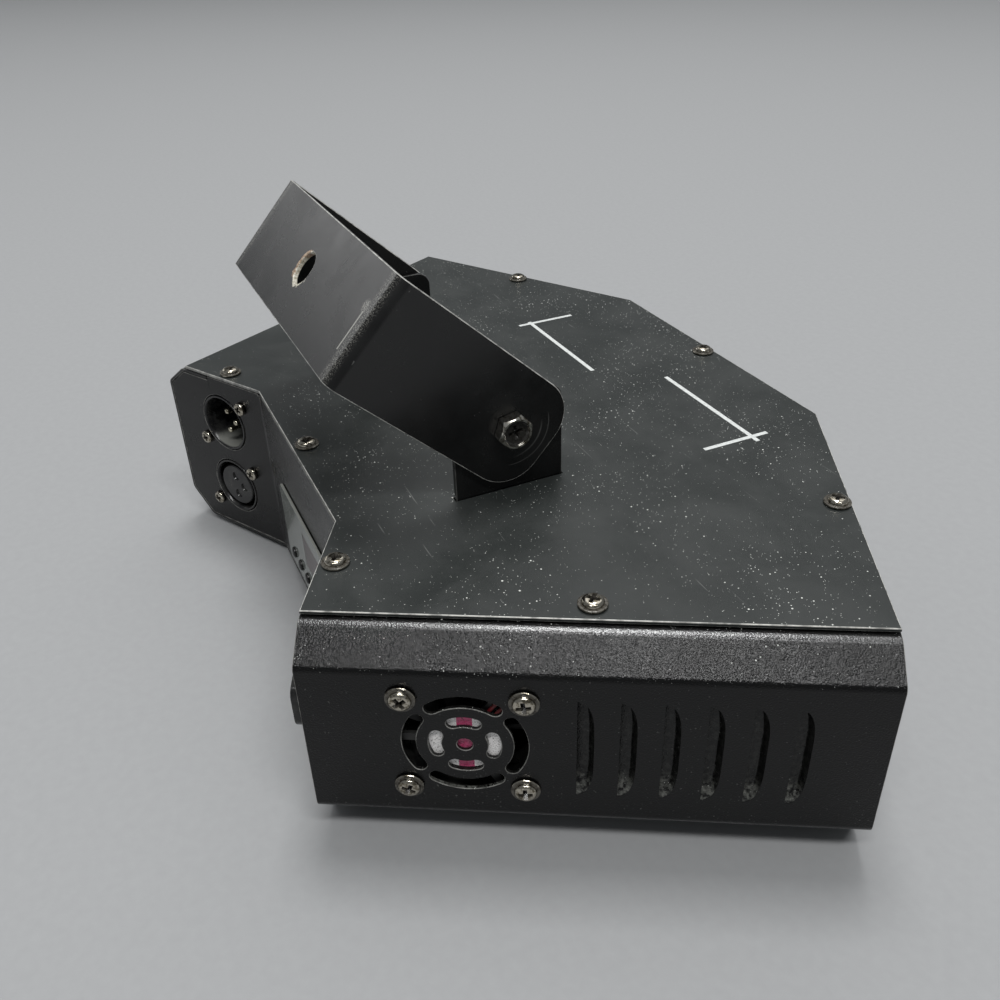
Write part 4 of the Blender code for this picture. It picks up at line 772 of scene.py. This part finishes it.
def screw_shape(scale_r, scale_h, washer, length):
    """A pan head with a tapered cross recess, on a washer where the real one has one."""
    r, h = scale_r / 3.1, scale_h / 2.1
    rim = [(r * 3.1, 0.3), (r * 3.12, 0.3 + h * 0.75)]
    if washer:
        rim = [(3.98, 0.30), (4.09, 0.40), (4.10, 0.72), (4.00, 0.88), (3.80, 0.95), (3.45, 0.93), (3.22, 0.90),
               (3.14, 1.00)]
    profile = [(0, -length), (r * 1.1, -length), (r * 1.45, -length + 0.5), (r * 1.45, 0.3)] + rim
    profile += [(r * a, 0.3 + h * b) for a, b in ((3.10, 1.05), (3.00, 1.40), (2.75, 1.70), (2.30, 1.93),
                                                  (1.70, 2.05), (1.00, 2.10), (0, 2.10))]
    top = (0.3 + h * 2.1) / 1000
    bm = combine(lathe(profile), fresh(cross_recess, 0.0023 * r, 0.00068 * r, top - 0.00165 * h, top + 0.0004, 0.45))
    # Painted shade: black in the recess, and a dark ring on the washer round the head
    painted_shade = bm.loops.layers.float.new("painted_shade")
    for face in bm.faces:
        middle = face.calc_center_median()
        if middle.z < top - 0.00020 and middle.xy.length < 0.0020 * r and middle.z > top - 0.002:
            for loop in face.loops:
                loop[painted_shade] = 1.0 if loop.vert.co.z < top - 0.0008 * h else 0.80
        elif washer and middle.z < 0.00105 and 0.0031 < middle.xy.length < 0.0039 and face.normal.z > 0.3:
            give(face, painted_shade, 0.8)
    return as_mesh(bm)


def make_screws():
    on_cover, on_fan, on_socket = (screw_shape(*sizes) for sizes in ((3.1, 2.1, True, 3.9), (3.1, 2.1, True, 12.9),
                                                                     (2.6, 1.5, False, 5.9)))
    # Name, side, number, shape, place and turn of each
    screws = []
    spots = ((0, -94.255), (-109.272, -66.415), (109.272, -66.415), (0, 65.245), (-69.967, 76.348),
             (69.967, 76.348), (-118.513, 21.783), (118.513, 21.783))
    for index, (x, y) in enumerate(spots):
        screws.append(("cover_screw", "", index, on_cover, spot(x / 1000, y / 1000, COVER_Z), 37 * index))
    for side in ENDS:
        for index, corner in enumerate(FAN_CORNERS):
            screws.append(("fan_screw", "_" + side, index, on_fan, moved(fan_place(side), *corner), 8 + 29 * index))
    for name, place in SOCKETS.items():
        for index, hand in enumerate((-1, 1)):
            screws.append((name + "_screw", "", index, on_socket, moved(place, hand * 0.012, hand * 0.0095),
                           20 + 50 * index))
    for group, side, index, shape, place, turn in screws:
        tail = side + "_" + str(index + 1)
        piece(group + "_head" + tail, shape_of(shape), [NICKEL], [group + tail],
              turned(place, turn), smooth=32)
    for shape in (on_cover, on_fan, on_socket):
        bpy.data.meshes.remove(shape)


# Yoke, lugs and bolts

LUG_X = 0.0557
BOLT_HOLE_R = 0.0033
YOKE_SHEET = 0.0016
YOKE_OUTER = LUG_X + GAP + YOKE_SHEET
YOKE_BASE = 0.0572          # from the pivot to the base's outer face
YOKE_TIP = -0.0152
YOKE_HALF_W = 0.0354 / 2
YOKE = turned(PIVOT, 42.8, "X")


def make_yoke():
    """The strap: bent from one strip, ends rounded, with its rigging hole and two bolt holes."""
    bm = bmesh.new()
    edge = bm.edges.new([bm.verts.new((-YOKE_OUTER, YOKE_TIP, side * YOKE_HALF_W)) for side in (-1, 1)])
    bends = []
    arm = YOKE_BASE - YOKE_TIP
    for shift in ((0, arm, 0), (2 * YOKE_OUTER, 0, 0), (0, -arm, 0)):
        edge = pulled(bm, edge, shift)
        bends.append(edge)
    bmesh.ops.recalc_face_normals(bm, faces=bm.faces)
    if bm.faces[:][0].normal.x > 0:
        bmesh.ops.reverse_faces(bm, faces=bm.faces)
    bevel(bm, bends[:2], 0.0040, 10)
    bevel(bm, [vert for vert in bm.verts if vert.co.y < -0.015], 0.0125, 12, "VERTICES")
    bm = folded(bm, YOKE_SHEET)
    tool = fresh(cylinder, BOLT_HOLE_R, -0.08, 0.08, turned(Matrix(), 90, "Y"))
    cylinder(tool, 0.0055, -0.004, 0.004, turned(spot(0, YOKE_BASE), 90, "X"), 64)
    bm = soften(combine(bm, tool), 0.00028, 3, 40)
    yoke_wear()
    piece("yoke_strap", bm, [YOKE_COAT], ["yoke"], YOKE, "yoke")


def yoke_wear():
    """On the yoke's coat, the bare and rusted rim of its rigging hole and the rubbed lines at its bends, both with
    painted glints.
    """
    tree = YOKE_COAT.node_tree
    shader = tree.nodes["Principled BSDF"]
    here = add(tree, "TexCoord", {}).outputs["Object"]
    x, y, z = (own_axis(tree, here, YOKE.inverted(), axis) for axis in range(3))
    base = shader.inputs["Base Color"].links[0].from_socket
    # Bare metal round the hole, 11 mm across, and rust that reaches two millimetres out on one side; the pale bare
    # patch on the -Z side is partly a painted glint
    grit = ramp(tree, noise(tree, here, 950.0, 5.0, 0.75), 0.40, 0.60)
    radius = distance(tree, x, z)
    top = calc(tree, "GREATER_THAN", y, 0.050)
    uneven = ramp(tree, noise(tree, here, 330.0, 4.0, 0.65), 0.35, 0.65, -0.0012, 0.0005)
    for level, low, high, least, most, pale, deep in ((x, 0.0005, 0.0050, 0.0050, 0.0073, "#b09a80", "#6b4d33"),
                                                      (z, -0.001, -0.005, 0.0057, 0.0065, "#dcd7ca", "#98937f")):
        reach = calc(tree, "ADD", ramp(tree, level, low, high, least, most), uneven)
        shown = calc(tree, "MULTIPLY", calc(tree, "LESS_THAN", radius, reach), top)
        base = mix(tree, shown, base, mix(tree, grit, pale, deep))
    # Rubbed band on the base beside each bend, 5 mm wide, of fine bright grains that are partly painted glints,
    # and on the near end one pale scratch, with a scuff at its end
    grains = noise(tree, here, 3000.0, 2.0, 0.7)
    on_base = calc(tree, "GREATER_THAN", y, 0.0536)
    short = calc(tree, "LESS_THAN", calc(tree, "ABSOLUTE", calc(tree, "ADD", z, 0.0022)), 0.0062)
    off_band = calc(tree, "SUBTRACT", calc(tree, "ABSOLUTE", x), 0.0533)
    scratch = calc(tree, "ADD", x, 0.0503)
    scuff = distance(tree, calc(tree, "ADD", x, 0.0497), calc(tree, "SUBTRACT", z, 0.0056))
    for off, width, fuzz, strength, mask in ((off_band, 0.0031, 0.51, 0.75, on_base),
                                             (scratch, 0.00045, 0.20, 0.85, short),
                                             (scuff, 0.0024, 0.44, 0.80, on_base)):
        band = ramp(tree, calc(tree, "ABSOLUTE", off), width, width * 0.4)
        chips_and_glints = ramp(tree, grains, fuzz, fuzz + 0.16, 0.0, strength)
        shown = calc(tree, "MULTIPLY", calc(tree, "MULTIPLY", band, chips_and_glints), mask)
        base = mix(tree, shown, base, "#a09f98")
    # Arcs rubbed by the washer's swing, 10 and 12.5 mm from the pivot, towards the arm's end
    from_pivot = distance(tree, y, z)
    outer = ramp(tree, y, -0.0070, -0.0090)
    for middle, width in ((0.0101, 0.00035), (0.0125, 0.00022)):
        off = calc(tree, "ABSOLUTE", calc(tree, "SUBTRACT", from_pivot, middle))
        line = ramp(tree, off, width, 0.3 * width, 0.0, 0.28)
        base = mix(tree, calc(tree, "MULTIPLY", line, outer), base, "#7a7a78")
    join(tree, shader, {"Base Color": base})


def make_lugs():
    """Two L-shaped lugs through the cover's slots, each with its pressed-in nut."""
    top, foot_z, foot_w, half, thick, corner = 0.1055, 0.0700, 0.016, 0.018, 0.002, 0.005
    outline = [(-half, foot_z), (half, foot_z)] + arc(half - corner, top - corner, corner, 0, 90, 10)
    outline += arc(corner - half, top - corner, corner, 90, 180, 10)
    upright = Matrix(((0, 0, 1, LUG_X), (1, 0, 0, 0), (0, 1, 0, 0), (0, 0, 0, 1)))
    pivot = turned(spot(0, 0, PIVOT_Z), 90, "Y")
    for side, hand in (("near", -1), ("far", 1)):
        bm = fresh(prism, outline, -thick, 0, upright)
        bm = combine(bm, fresh(box, (LUG_X - foot_w, LUG_X), (-half, half), (foot_z, foot_z + thick)), "UNION")
        bm = combine(bm, fresh(cylinder, 0.0050, LUG_X - 0.0060, LUG_X - 0.0015, pivot), "UNION")
        bm = combine(bm, fresh(cylinder, BOLT_HOLE_R, 0.04, 0.06, pivot))
        soften(bm, 0.00025, 2, 40, rubbed=0.15)
        piece("lug_plate_" + side, bm, [YOKE_COAT], ["yoke_lug_" + side],
              spot(0, PIVOT_Y) @ Matrix.Diagonal((hand, 1, 1, 1)))


def make_bolts():
    """Indented hex head bolts with a cross recess."""
    across_flats, head_h = 0.0100, 0.0040
    for side, hand in (("near", -1), ("far", 1)):
        bm = fresh(cylinder, across_flats / math.sqrt(3), 0, head_h, segments=6)
        bm = combine(bm, lathe([(0, -1), (5.9, -1), (5.9, 2.75), (4.75, 4.0), (0, 4.0)], 72), "INTERSECT")
        bm = combine(bm, lathe([(0, 2.75), (3.5, 2.85), (4.05, 3.2), (4.25, 4.2), (0, 4.2)], 72))
        bm = combine(bm, fresh(cross_recess, 0.0026, 0.00065, 0.0012, 0.0032, 0.5))
        bm = combine(bm, fresh(cylinder, 0.0029, -0.0113, 0.0005), "UNION")
        soften(bm, 0.00016, 2, 24, lambda edge: min(vert.co.z for vert in edge.verts) > 0.0003, longer=0.0009)
        # Painted shade: the crown's recess is painted black, with its small rounded edges left bright
        painted_shade = bm.loops.layers.float.new("painted_shade")
        for face in bm.faces:
            middle = face.calc_center_median()
            if middle.xy.length < 0.0040 and 0.0008 < middle.z < 0.0034 and face.calc_area() > 4e-8:
                give(face, painted_shade, 0.97)
        place = moved(turned(PIVOT, hand * 90, "Y"), 0, 0, YOKE_OUTER + GAP)
        piece("bolt_head_" + side, bm, [BOLT_PLATE], ["yoke_bolt_" + side], turned(place, 12),
              smooth=30)


# Fans

BLADE_COUNT = 7
BLADE_IN = 0.0092
BLADE_OUT = 0.0177


def fan_blade(index):
    """One of the rotor's blades: twisted, hollow on one side, flatter and wider towards its tip."""
    blade = bmesh.new()
    bmesh.ops.create_grid(blade, x_segments=8, y_segments=8, size=0.5)
    for vert in blade.verts:
        out = vert.co.x + 0.5
        chord = vert.co.y * (0.0074 + 0.0010 * out)
        pitch = math.radians(44 - 14 * out)
        sag = 0.0007 * (1 - (2 * vert.co.y) ** 2)
        vert.co = Vector((BLADE_IN + out * (BLADE_OUT - BLADE_IN), chord * math.cos(pitch) - sag * math.sin(pitch),
                          -0.006 + chord * math.sin(pitch) + sag * math.cos(pitch)))
    bmesh.ops.solidify(blade, geom=blade.faces, thickness=0.0007)
    bmesh.ops.recalc_face_normals(blade, faces=blade.faces)
    bmesh.ops.transform(blade, matrix=turned(Matrix(), index * 360 / BLADE_COUNT), verts=blade.verts)
    return blade


def make_fans():
    """Frame, hub with its label, and rotor behind each grille."""
    for side in ENDS:
        place = moved(fan_place(side), 0, 0, -INSET)
        tool = fresh(cylinder, FAN_BORE_R, -0.012, 0.002, segments=96)
        for corner in FAN_CORNERS:
            cylinder(tool, SCREW_HOLE_R, -0.012, 0.002, spot(*corner), 24)
        casing = combine(fresh(prism, rounded_box(FAN_SIZE, FAN_SIZE, 0.003), -0.010, 0), tool)
        hub = lathe([(0, -8), (1.5, -8), (1.5, -2), (9.6, -2), (10.0, -1.6), (10.0, -0.5), (9.9, -0.1), (0, -0.1)], 72)
        casing = combine(casing, hub, "UNION")
        struts = bmesh.new()
        for index in range(3):
            box(struts, (0.0090, FAN_BORE_R + 0.0006), (-0.0013, 0.0013), (-0.0018, -0.0005),
                turned(Matrix(), 180 + 120 * index))
        casing = combine(casing, struts, "UNION")
        soften(casing, 0.00020, 2, 40, longer=0.0004)
        label = lathe([(0, -0.09), (9.85, -0.09), (9.85, 0.05), (9.8, 0.1), (0, 0.1)], 64)
        lead = bmesh.new()
        for turn, shift in ((51.5, -0.0006), (55.0, 0.0007)):
            cylinder(lead, 0.00055, 0.0098, FAN_BORE_R - 0.0002,
                     turned(moved(turned(Matrix(), turn), 0, shift, -0.0004), 90, "Y"), 16)
        piece("fan_casing_" + side, casing, [FAN_PLASTIC], ["fan_frame_" + side], place)
        piece("fan_label_" + side, label, [hub_label(side)], place=place)
        piece("fan_leads_" + side, lead, [LEAD_RED], place=place)
        cup = lathe([(0, -9.7), (8.9, -9.7), (9.5, -9.1), (9.5, -2.4), (9.3, -2.3), (1.6, -2.3), (1.6, -8.5),
                     (0, -8.5)], 72)
        rotor = "fan_rotor_" + side
        blades = [fan_blade(index) for index in range(BLADE_COUNT)]
        piece("fan_wheel_" + side, joined([cup] + blades), [FAN_PLASTIC], [rotor], place, rotor)


# Rear sockets, inlet and menu

def make_socket_shapes():
    """Pin socket above, hole socket below, flanges behind the panel."""
    spots = [(0, 0.0041), (0.0041, 0), (0, -0.0041)]
    for name, place in SOCKETS.items():
        pins = name == "dmx_in"
        tool = fresh(cylinder, 0.0110, -0.006, 0.002, segments=64)
        for hand in (-1, 1):
            cylinder(tool, 0.0017, -0.006, 0.002, spot(hand * 0.012, hand * 0.0095), 24)
        flange = combine(fresh(prism, rounded_box(0.030, 0.025, 0.002), -0.0032, -INSET), tool)
        throat, step = (9.9, -2.3) if pins else (10.3, -0.9)
        barrel = lathe([(0, -19.7), (11.2, -19.7), (11.6, -19.3), (11.6, 0.0), (11.5, 0.2), (11.25, 0.3), (10.95, 0.25),
                        (10.7, 0.05), (10.45, -0.5), (throat, step), (throat, -14.7), (0, -14.7)], 96)
        body = combine(flange, barrel, "UNION")
        if pins:
            inner = fresh(box, (-0.0100, -0.0088), (-0.0012, 0.0012), (-0.0145, -0.0030))
            contact = [(0, -15.2), (1.15, -15.2), (1.2, -14.6), (1.2, -2.5), (1.05, -2.0), (0.7, -1.75), (0, -1.7)]
        else:
            tool = bmesh.new()
            for x, y in spots:
                cylinder(tool, 0.0015, -0.0077, 0.002, spot(x, y), 24)
                cylinder(tool, 0.0015, -0.0009, 0.0001, spot(x, y), 24, top=0.0021)
            inner = combine(lathe([(0, -15.2), (8.8, -15.2), (8.8, -0.7), (8.5, -0.35), (7.9, -0.3), (0, -0.3)], 72),
                            tool)
            contact = [(0, -7.8), (1.35, -7.8), (1.35, -1.6), (1.0, -1.5), (1.0, -7.0), (0, -7.0)]
        whole = joined([body, inner])
        # Painted light: the lower part of the pin socket's flare is painted pale, as if lit from above
        dust_and_painted_light = whole.verts.layers.float.new("dust_and_painted_light")
        for vert in whole.verts:
            if pins and vert.co.xy.length > 0.0090 and -0.0060 < vert.co.z < -0.0004:
                vert[dust_and_painted_light] = 0.75 * ease((-vert.co.y - 0.0066) / 0.0026)
        piece(name + "_shell", whole, [SOCKET_PLASTIC], [name + "_socket"], place)
        piece(name + "_contacts", joined([lathe(contact, 24, x, y) for x, y in spots]), [PIN_PLATE], place=place)


def make_inlet():
    """Three-blade mains inlet, with its two countersunk screws."""
    shoulder, half_l, half_h, ear, screw_x = 0.0135, 0.0245, 0.0115, 0.0060, 0.020
    bm = fresh(prism, [(half_l, -ear), (half_l, ear), (shoulder, half_h), (-shoulder, half_h), (-half_l, ear),
                       (-half_l, -ear), (-shoulder, -half_h), (shoulder, -half_h)], GAP, 0.0031)
    bevel(bm, [edge for edge in bm.edges if rise(edge) > 0.002], 0.0022, 6)
    bm = combine(bm, fresh(prism, rounded_box(0.027, 0.020, 0.001), -0.0187, 0.0006), "UNION")
    mouth = fresh(prism, [(0.012, -0.008), (0.012, 0.004), (0.008, 0.008), (-0.008, 0.008), (-0.012, 0.004),
                          (-0.012, -0.008)], -0.0129, 0.006)
    bevel(mouth, [edge for edge in mouth.edges if rise(edge) > 0.01], 0.0008, 4)
    sink = [(0, -2), (1.7, -2), (1.7, 1.3), (3.2, 3.05), (3.2, 6), (0, 6)]
    bm = combine(bm, joined([mouth] + [lathe(sink, 32, hand * screw_x) for hand in (-1, 1)]))
    soften(bm, 0.00025, 2, 40, longer=0.0006)
    blades = bmesh.new()
    for x, y in ((-0.0070, -0.0022), (0.0070, -0.0022), (0, 0.0020)):
        block(blades, x, y, 0.0010, 0.0020, (-0.0130, 0.0001))
    soften(blades, 0.0004, 3, 40, lambda edge: min(v.co.z for v in edge.verts) > -0.0129 or rise(edge) > 0.005)
    screws = []
    for hand in (-1, 1):
        head = combine(lathe([(0, -3.0), (1.4, -3.0), (1.4, 1.3), (2.95, 2.75), (2.95, 2.95), (0, 3.0)]),
                       fresh(cross_recess, 0.0015, 0.0004, 0.0018, 0.0040, 0.6, turn=31 * hand))
        bmesh.ops.translate(head, verts=head.verts, vec=(hand * screw_x, 0, 0))
        screws.append(head)
    piece("inlet_shell", bm, [SOCKET_PLASTIC], ["power_inlet"], INLET)
    piece("inlet_blades", blades, [PIN_PLATE], place=INLET)
    piece("inlet_screws", joined(screws), [NICKEL], place=INLET, smooth=32)


def make_menu():
    """Overlay, buttons and the board with its display."""
    panel = REAR["centre"]
    first_x, pitch, button_y = -0.0213, 0.0093, 0.0148
    buttons_x = [first_x + pitch * index for index in range(4)]
    display = (0.0130, 0.0285)
    film_y = 0.0243
    tool = fresh(prism, rounded_box(0.030, 0.014, 0.0006), -0.001, 0.003, spot(*display))
    for x in buttons_x:
        cylinder(tool, 0.0024, -0.001, 0.003, spot(x, button_y))
    film = combine(fresh(prism, rounded_box(0.064, 0.033, 0.003), GAP, 0.0013, spot(0, film_y)), tool)
    soften(film, 0.00018, 2, 40, longer=0.0002)
    # Painted highlight: the rim's faces are painted pale
    dust_and_painted_light = film.verts.layers.float.new("dust_and_painted_light")
    for vert in film.verts:
        if abs(vert.co.x) > 0.0319 or abs(vert.co.y - film_y) > 0.0164:
            vert[dust_and_painted_light] = 0.8
    piece("menu_overlay", film, [OVERLAY_FILM], ["control_overlay"], panel)
    pane = fresh(prism, rounded_box(0.0298, 0.0138, 0.0005), 0.0006, 0.00126, spot(*display))
    piece("display_filter", pane, [SMOKED_PANE], place=panel)
    for index, x in enumerate(buttons_x):
        cap = lathe([(0, -4.2), (2.1, -4.2), (2.1, -2.5), (3.0, -2.5), (3.0, -1.5), (2.1, -1.5), (2.1, 1.7),
                     (2.02, 1.95), (1.8, 2.15), (1.4, 2.32), (0.8, 2.45), (0, 2.5)])
        body = "menu_button_" + str(index + 1)
        piece("menu_button_cap_" + str(index + 1), cap, [BUTTON_PLASTIC], [body],
              moved(panel, x, button_y), body)
    face = -INSET - 0.0070
    back = face - 0.0008
    parts = [soften(fresh(block, 0, film_y, 0.035, 0.020, (face - 0.0016, face)), 0.0002, 2, 40),
             paint(soften(fresh(block, *display, 0.0147, 0.0067, (back, -INSET)), 0.0002, 2, 40), 1)]
    parts += [paint(soften(fresh(block, x, button_y, 0.003, 0.003, (back, face + 0.0035)), 0.0003, 2, 40), 2)
              for x in buttons_x]
    parts += [paint(fresh(cylinder, 0.0025, back, -INSET, spot(x, y), 32), 3)
              for x, y in ((0.031, 0.0403), (-0.031, 0.0403), (-0.031, 0.0083), (0.031, 0.0083))]
    piece("menu_board", joined(parts), [MASK, DISPLAY_FACE, FAN_PLASTIC, ZINC], ["control_board"],
          panel)
    # Unlit segments of the four digits
    digits = bmesh.new()
    across, high, thick, short = 0.0030, 0.0072, 0.0006, 0.0008
    for digit in range(4):
        middle = display[0] + (digit - 1.5) * 0.0068
        bars = [(0, level, across - short, thick) for level in (-0.5, 0, 0.5)]
        bars += [(x, level, thick, high / 2 - short) for x in (-0.5, 0.5) for level in (-0.25, 0.25)]
        for x, level, width, height in bars:
            block(digits, middle + x * across, display[1] + level * high, width / 2, height / 2,
                  (-INSET - 0.0001, -INSET + 0.00005))
    piece("menu_digits", digits, [SEGMENTS], place=panel)


# Optics and power board

def make_optics():
    """Glass, scanning mirrors, drives and laser blocks behind the windows."""
    for side, place in FRONT.items():
        own = moved(place, 0, PANEL_MID, -0.022).inverted()
        for name, node, width, least, longer, finishes, slot in (
                ("window_pane_", "window_glass_", 0.0003, 40, 0.0, [GLASS], "window_glass"),
                ("drive_bracket_", "scan_drive_", 0.0002, 50, 0.004, [ZINC, MOTOR_STEEL], "zinc_bracket"),
                ("mirror_plate_", "scan_mirror_", 0.00012, 50, 0.004, [SILVER], "mirror_silver"),
                ("laser_bar_", "laser_block_", 0.00025, 50, 0.002, [ALLOY], "laser_alloy")):
            bm = soften(copy_of(node + side), width, 2, least, longer=longer)
            if MOTOR_STEEL in finishes:
                paint(bm, 1, lambda middle: (own @ middle).x > 0.0391)
            body = node + side if SILVER in finishes else "housing"
            piece(name + side, bm, finishes, [node + side], body=body)


def make_power_board():
    """Supply board: mask, taped transformer, sleeved capacitors, sink and posts."""
    bm = copy_of("power_board")
    soften(bm, 0.0003, 2, 50, longer=0.004)
    low = FLOOR_Z + INSET + 0.005
    middle_y = 0.090 + FRONT_Y
    blocks = [(1, 0, 0, 0.0145, 0.0125), (2, 0.0255, 0, 0.0020, 0.0225)]
    blocks += [(3, -0.027, 0.016 * step, 0.006, 0.006) for step in (-1, 0, 1)]
    for index, x, y, half_x, half_y in blocks:
        paint(bm, index, lambda point: abs(point.x - x) < half_x and abs(point.y - middle_y - y) < half_y
              and point.z > low + 0.0018)
    paint(bm, 2, lambda point: point.z < low - 0.0002)
    piece("supply_board", bm, [MASK, TAPE, ALLOY, SLEEVE], ["power_board"])


def make_feet():
    """Rubber pads with a moulded dimple."""
    for index, (x, y) in enumerate(((-0.139582, -0.035742), (0.139582, -0.035742), (-0.079886, 0.069332),
                                    (0.079886, 0.069332))):
        pad = lathe([(0, 0.7), (3.0, 0.7), (3.3, 0.5), (3.5, 0.1), (3.8, 0), (6.3, 0), (6.75, 0.15), (7.0, 0.55),
                     (7.0, 2.4), (6.8, 2.7), (0, 2.7)], 64)
        piece("foot_pad_" + str(index + 1), pad, [RUBBER], ["rubber_foot_" + str(index + 1)],
              spot(x, y))


make_tray()
make_panels()
make_print()
make_screws()
make_yoke()
make_lugs()
make_bolts()
make_fans()
make_socket_shapes()
make_inlet()
make_menu()
make_optics()
make_power_board()
make_feet()


# Floor, lamps and camera

def make_stage():
    mesh = as_mesh(fresh(bmesh.ops.create_grid, x_segments=1, y_segments=1, size=6), "studio_floor")
    made, tree, shader, here = material("studio_paper")
    tone = mix(tree, noise(tree, here, 300.0, 3.0), "#9b9c9d", "#a2a3a4")
    join(tree, shader, {"Base Color": tone, "Roughness": 0.9, "Specular IOR Level": 0.1})
    mesh.materials.append(made)
    ground = as_object(mesh)


def make_lamp(name, x, y, z, size, power):
    """A soft panel that faces the light."""
    lamp = bpy.data.lights.new(name, "AREA")
    lamp.shape = "RECTANGLE"
    lamp.size, lamp.size_y = size
    lamp.energy = power
    made = as_object(lamp)
    made.location = (x, y, z)
    made.rotation_euler = Vector((-x, -y, 0.05 - z)).to_track_quat("-Z", "Y").to_euler()


def make_camera():
    """The photograph's viewpoint, from a fit to the housing's corners."""
    yaw, pitch, roll = (math.radians(v) for v in (-23.77, 32.48, 2.0))
    ahead = Vector((math.cos(yaw) * math.cos(pitch), math.sin(yaw) * math.cos(pitch), -math.sin(pitch)))
    right = ahead.cross(UP).normalized()
    down = ahead.cross(right)
    right = math.cos(roll) * right + math.sin(roll) * down
    turn = Matrix((right, right.cross(ahead), -ahead)).transposed().to_4x4()
    data = bpy.data.cameras.new("camera")
    data.lens = 35.49
    data.sensor_width = 36.0
    data.clip_start = 0.01
    made = as_object(data)
    made.matrix_world = Matrix.Translation((-0.29288, 0.12385, 0.23457)) @ turn
    bpy.context.scene.camera = made


def make_world():
    world = bpy.data.worlds.new("studio")
    world.use_nodes = True
    shade = world.node_tree.nodes["Background"]
    shade.inputs["Color"].default_value = srgb("#dfe3e6")
    shade.inputs["Strength"].default_value = 0.26
    bpy.context.scene.world = world


make_stage()
make_world()
make_camera()
make_lamp("ceiling_panel", 1.2, -1.0, 2.6, (2.8, 2.0), 19)
make_lamp("overhead_panel", 0.5, -0.3, 2.95, (0.9, 0.9), 43)
make_lamp("near_panel", -1.42, 0.5, 3.0, (2.5, 0.26), 63)
make_lamp("far_panel", 2.8, 1.1, 1.2, (1.6, 1.0), 6)
bpy.context.scene.view_settings.view_transform = "Standard"
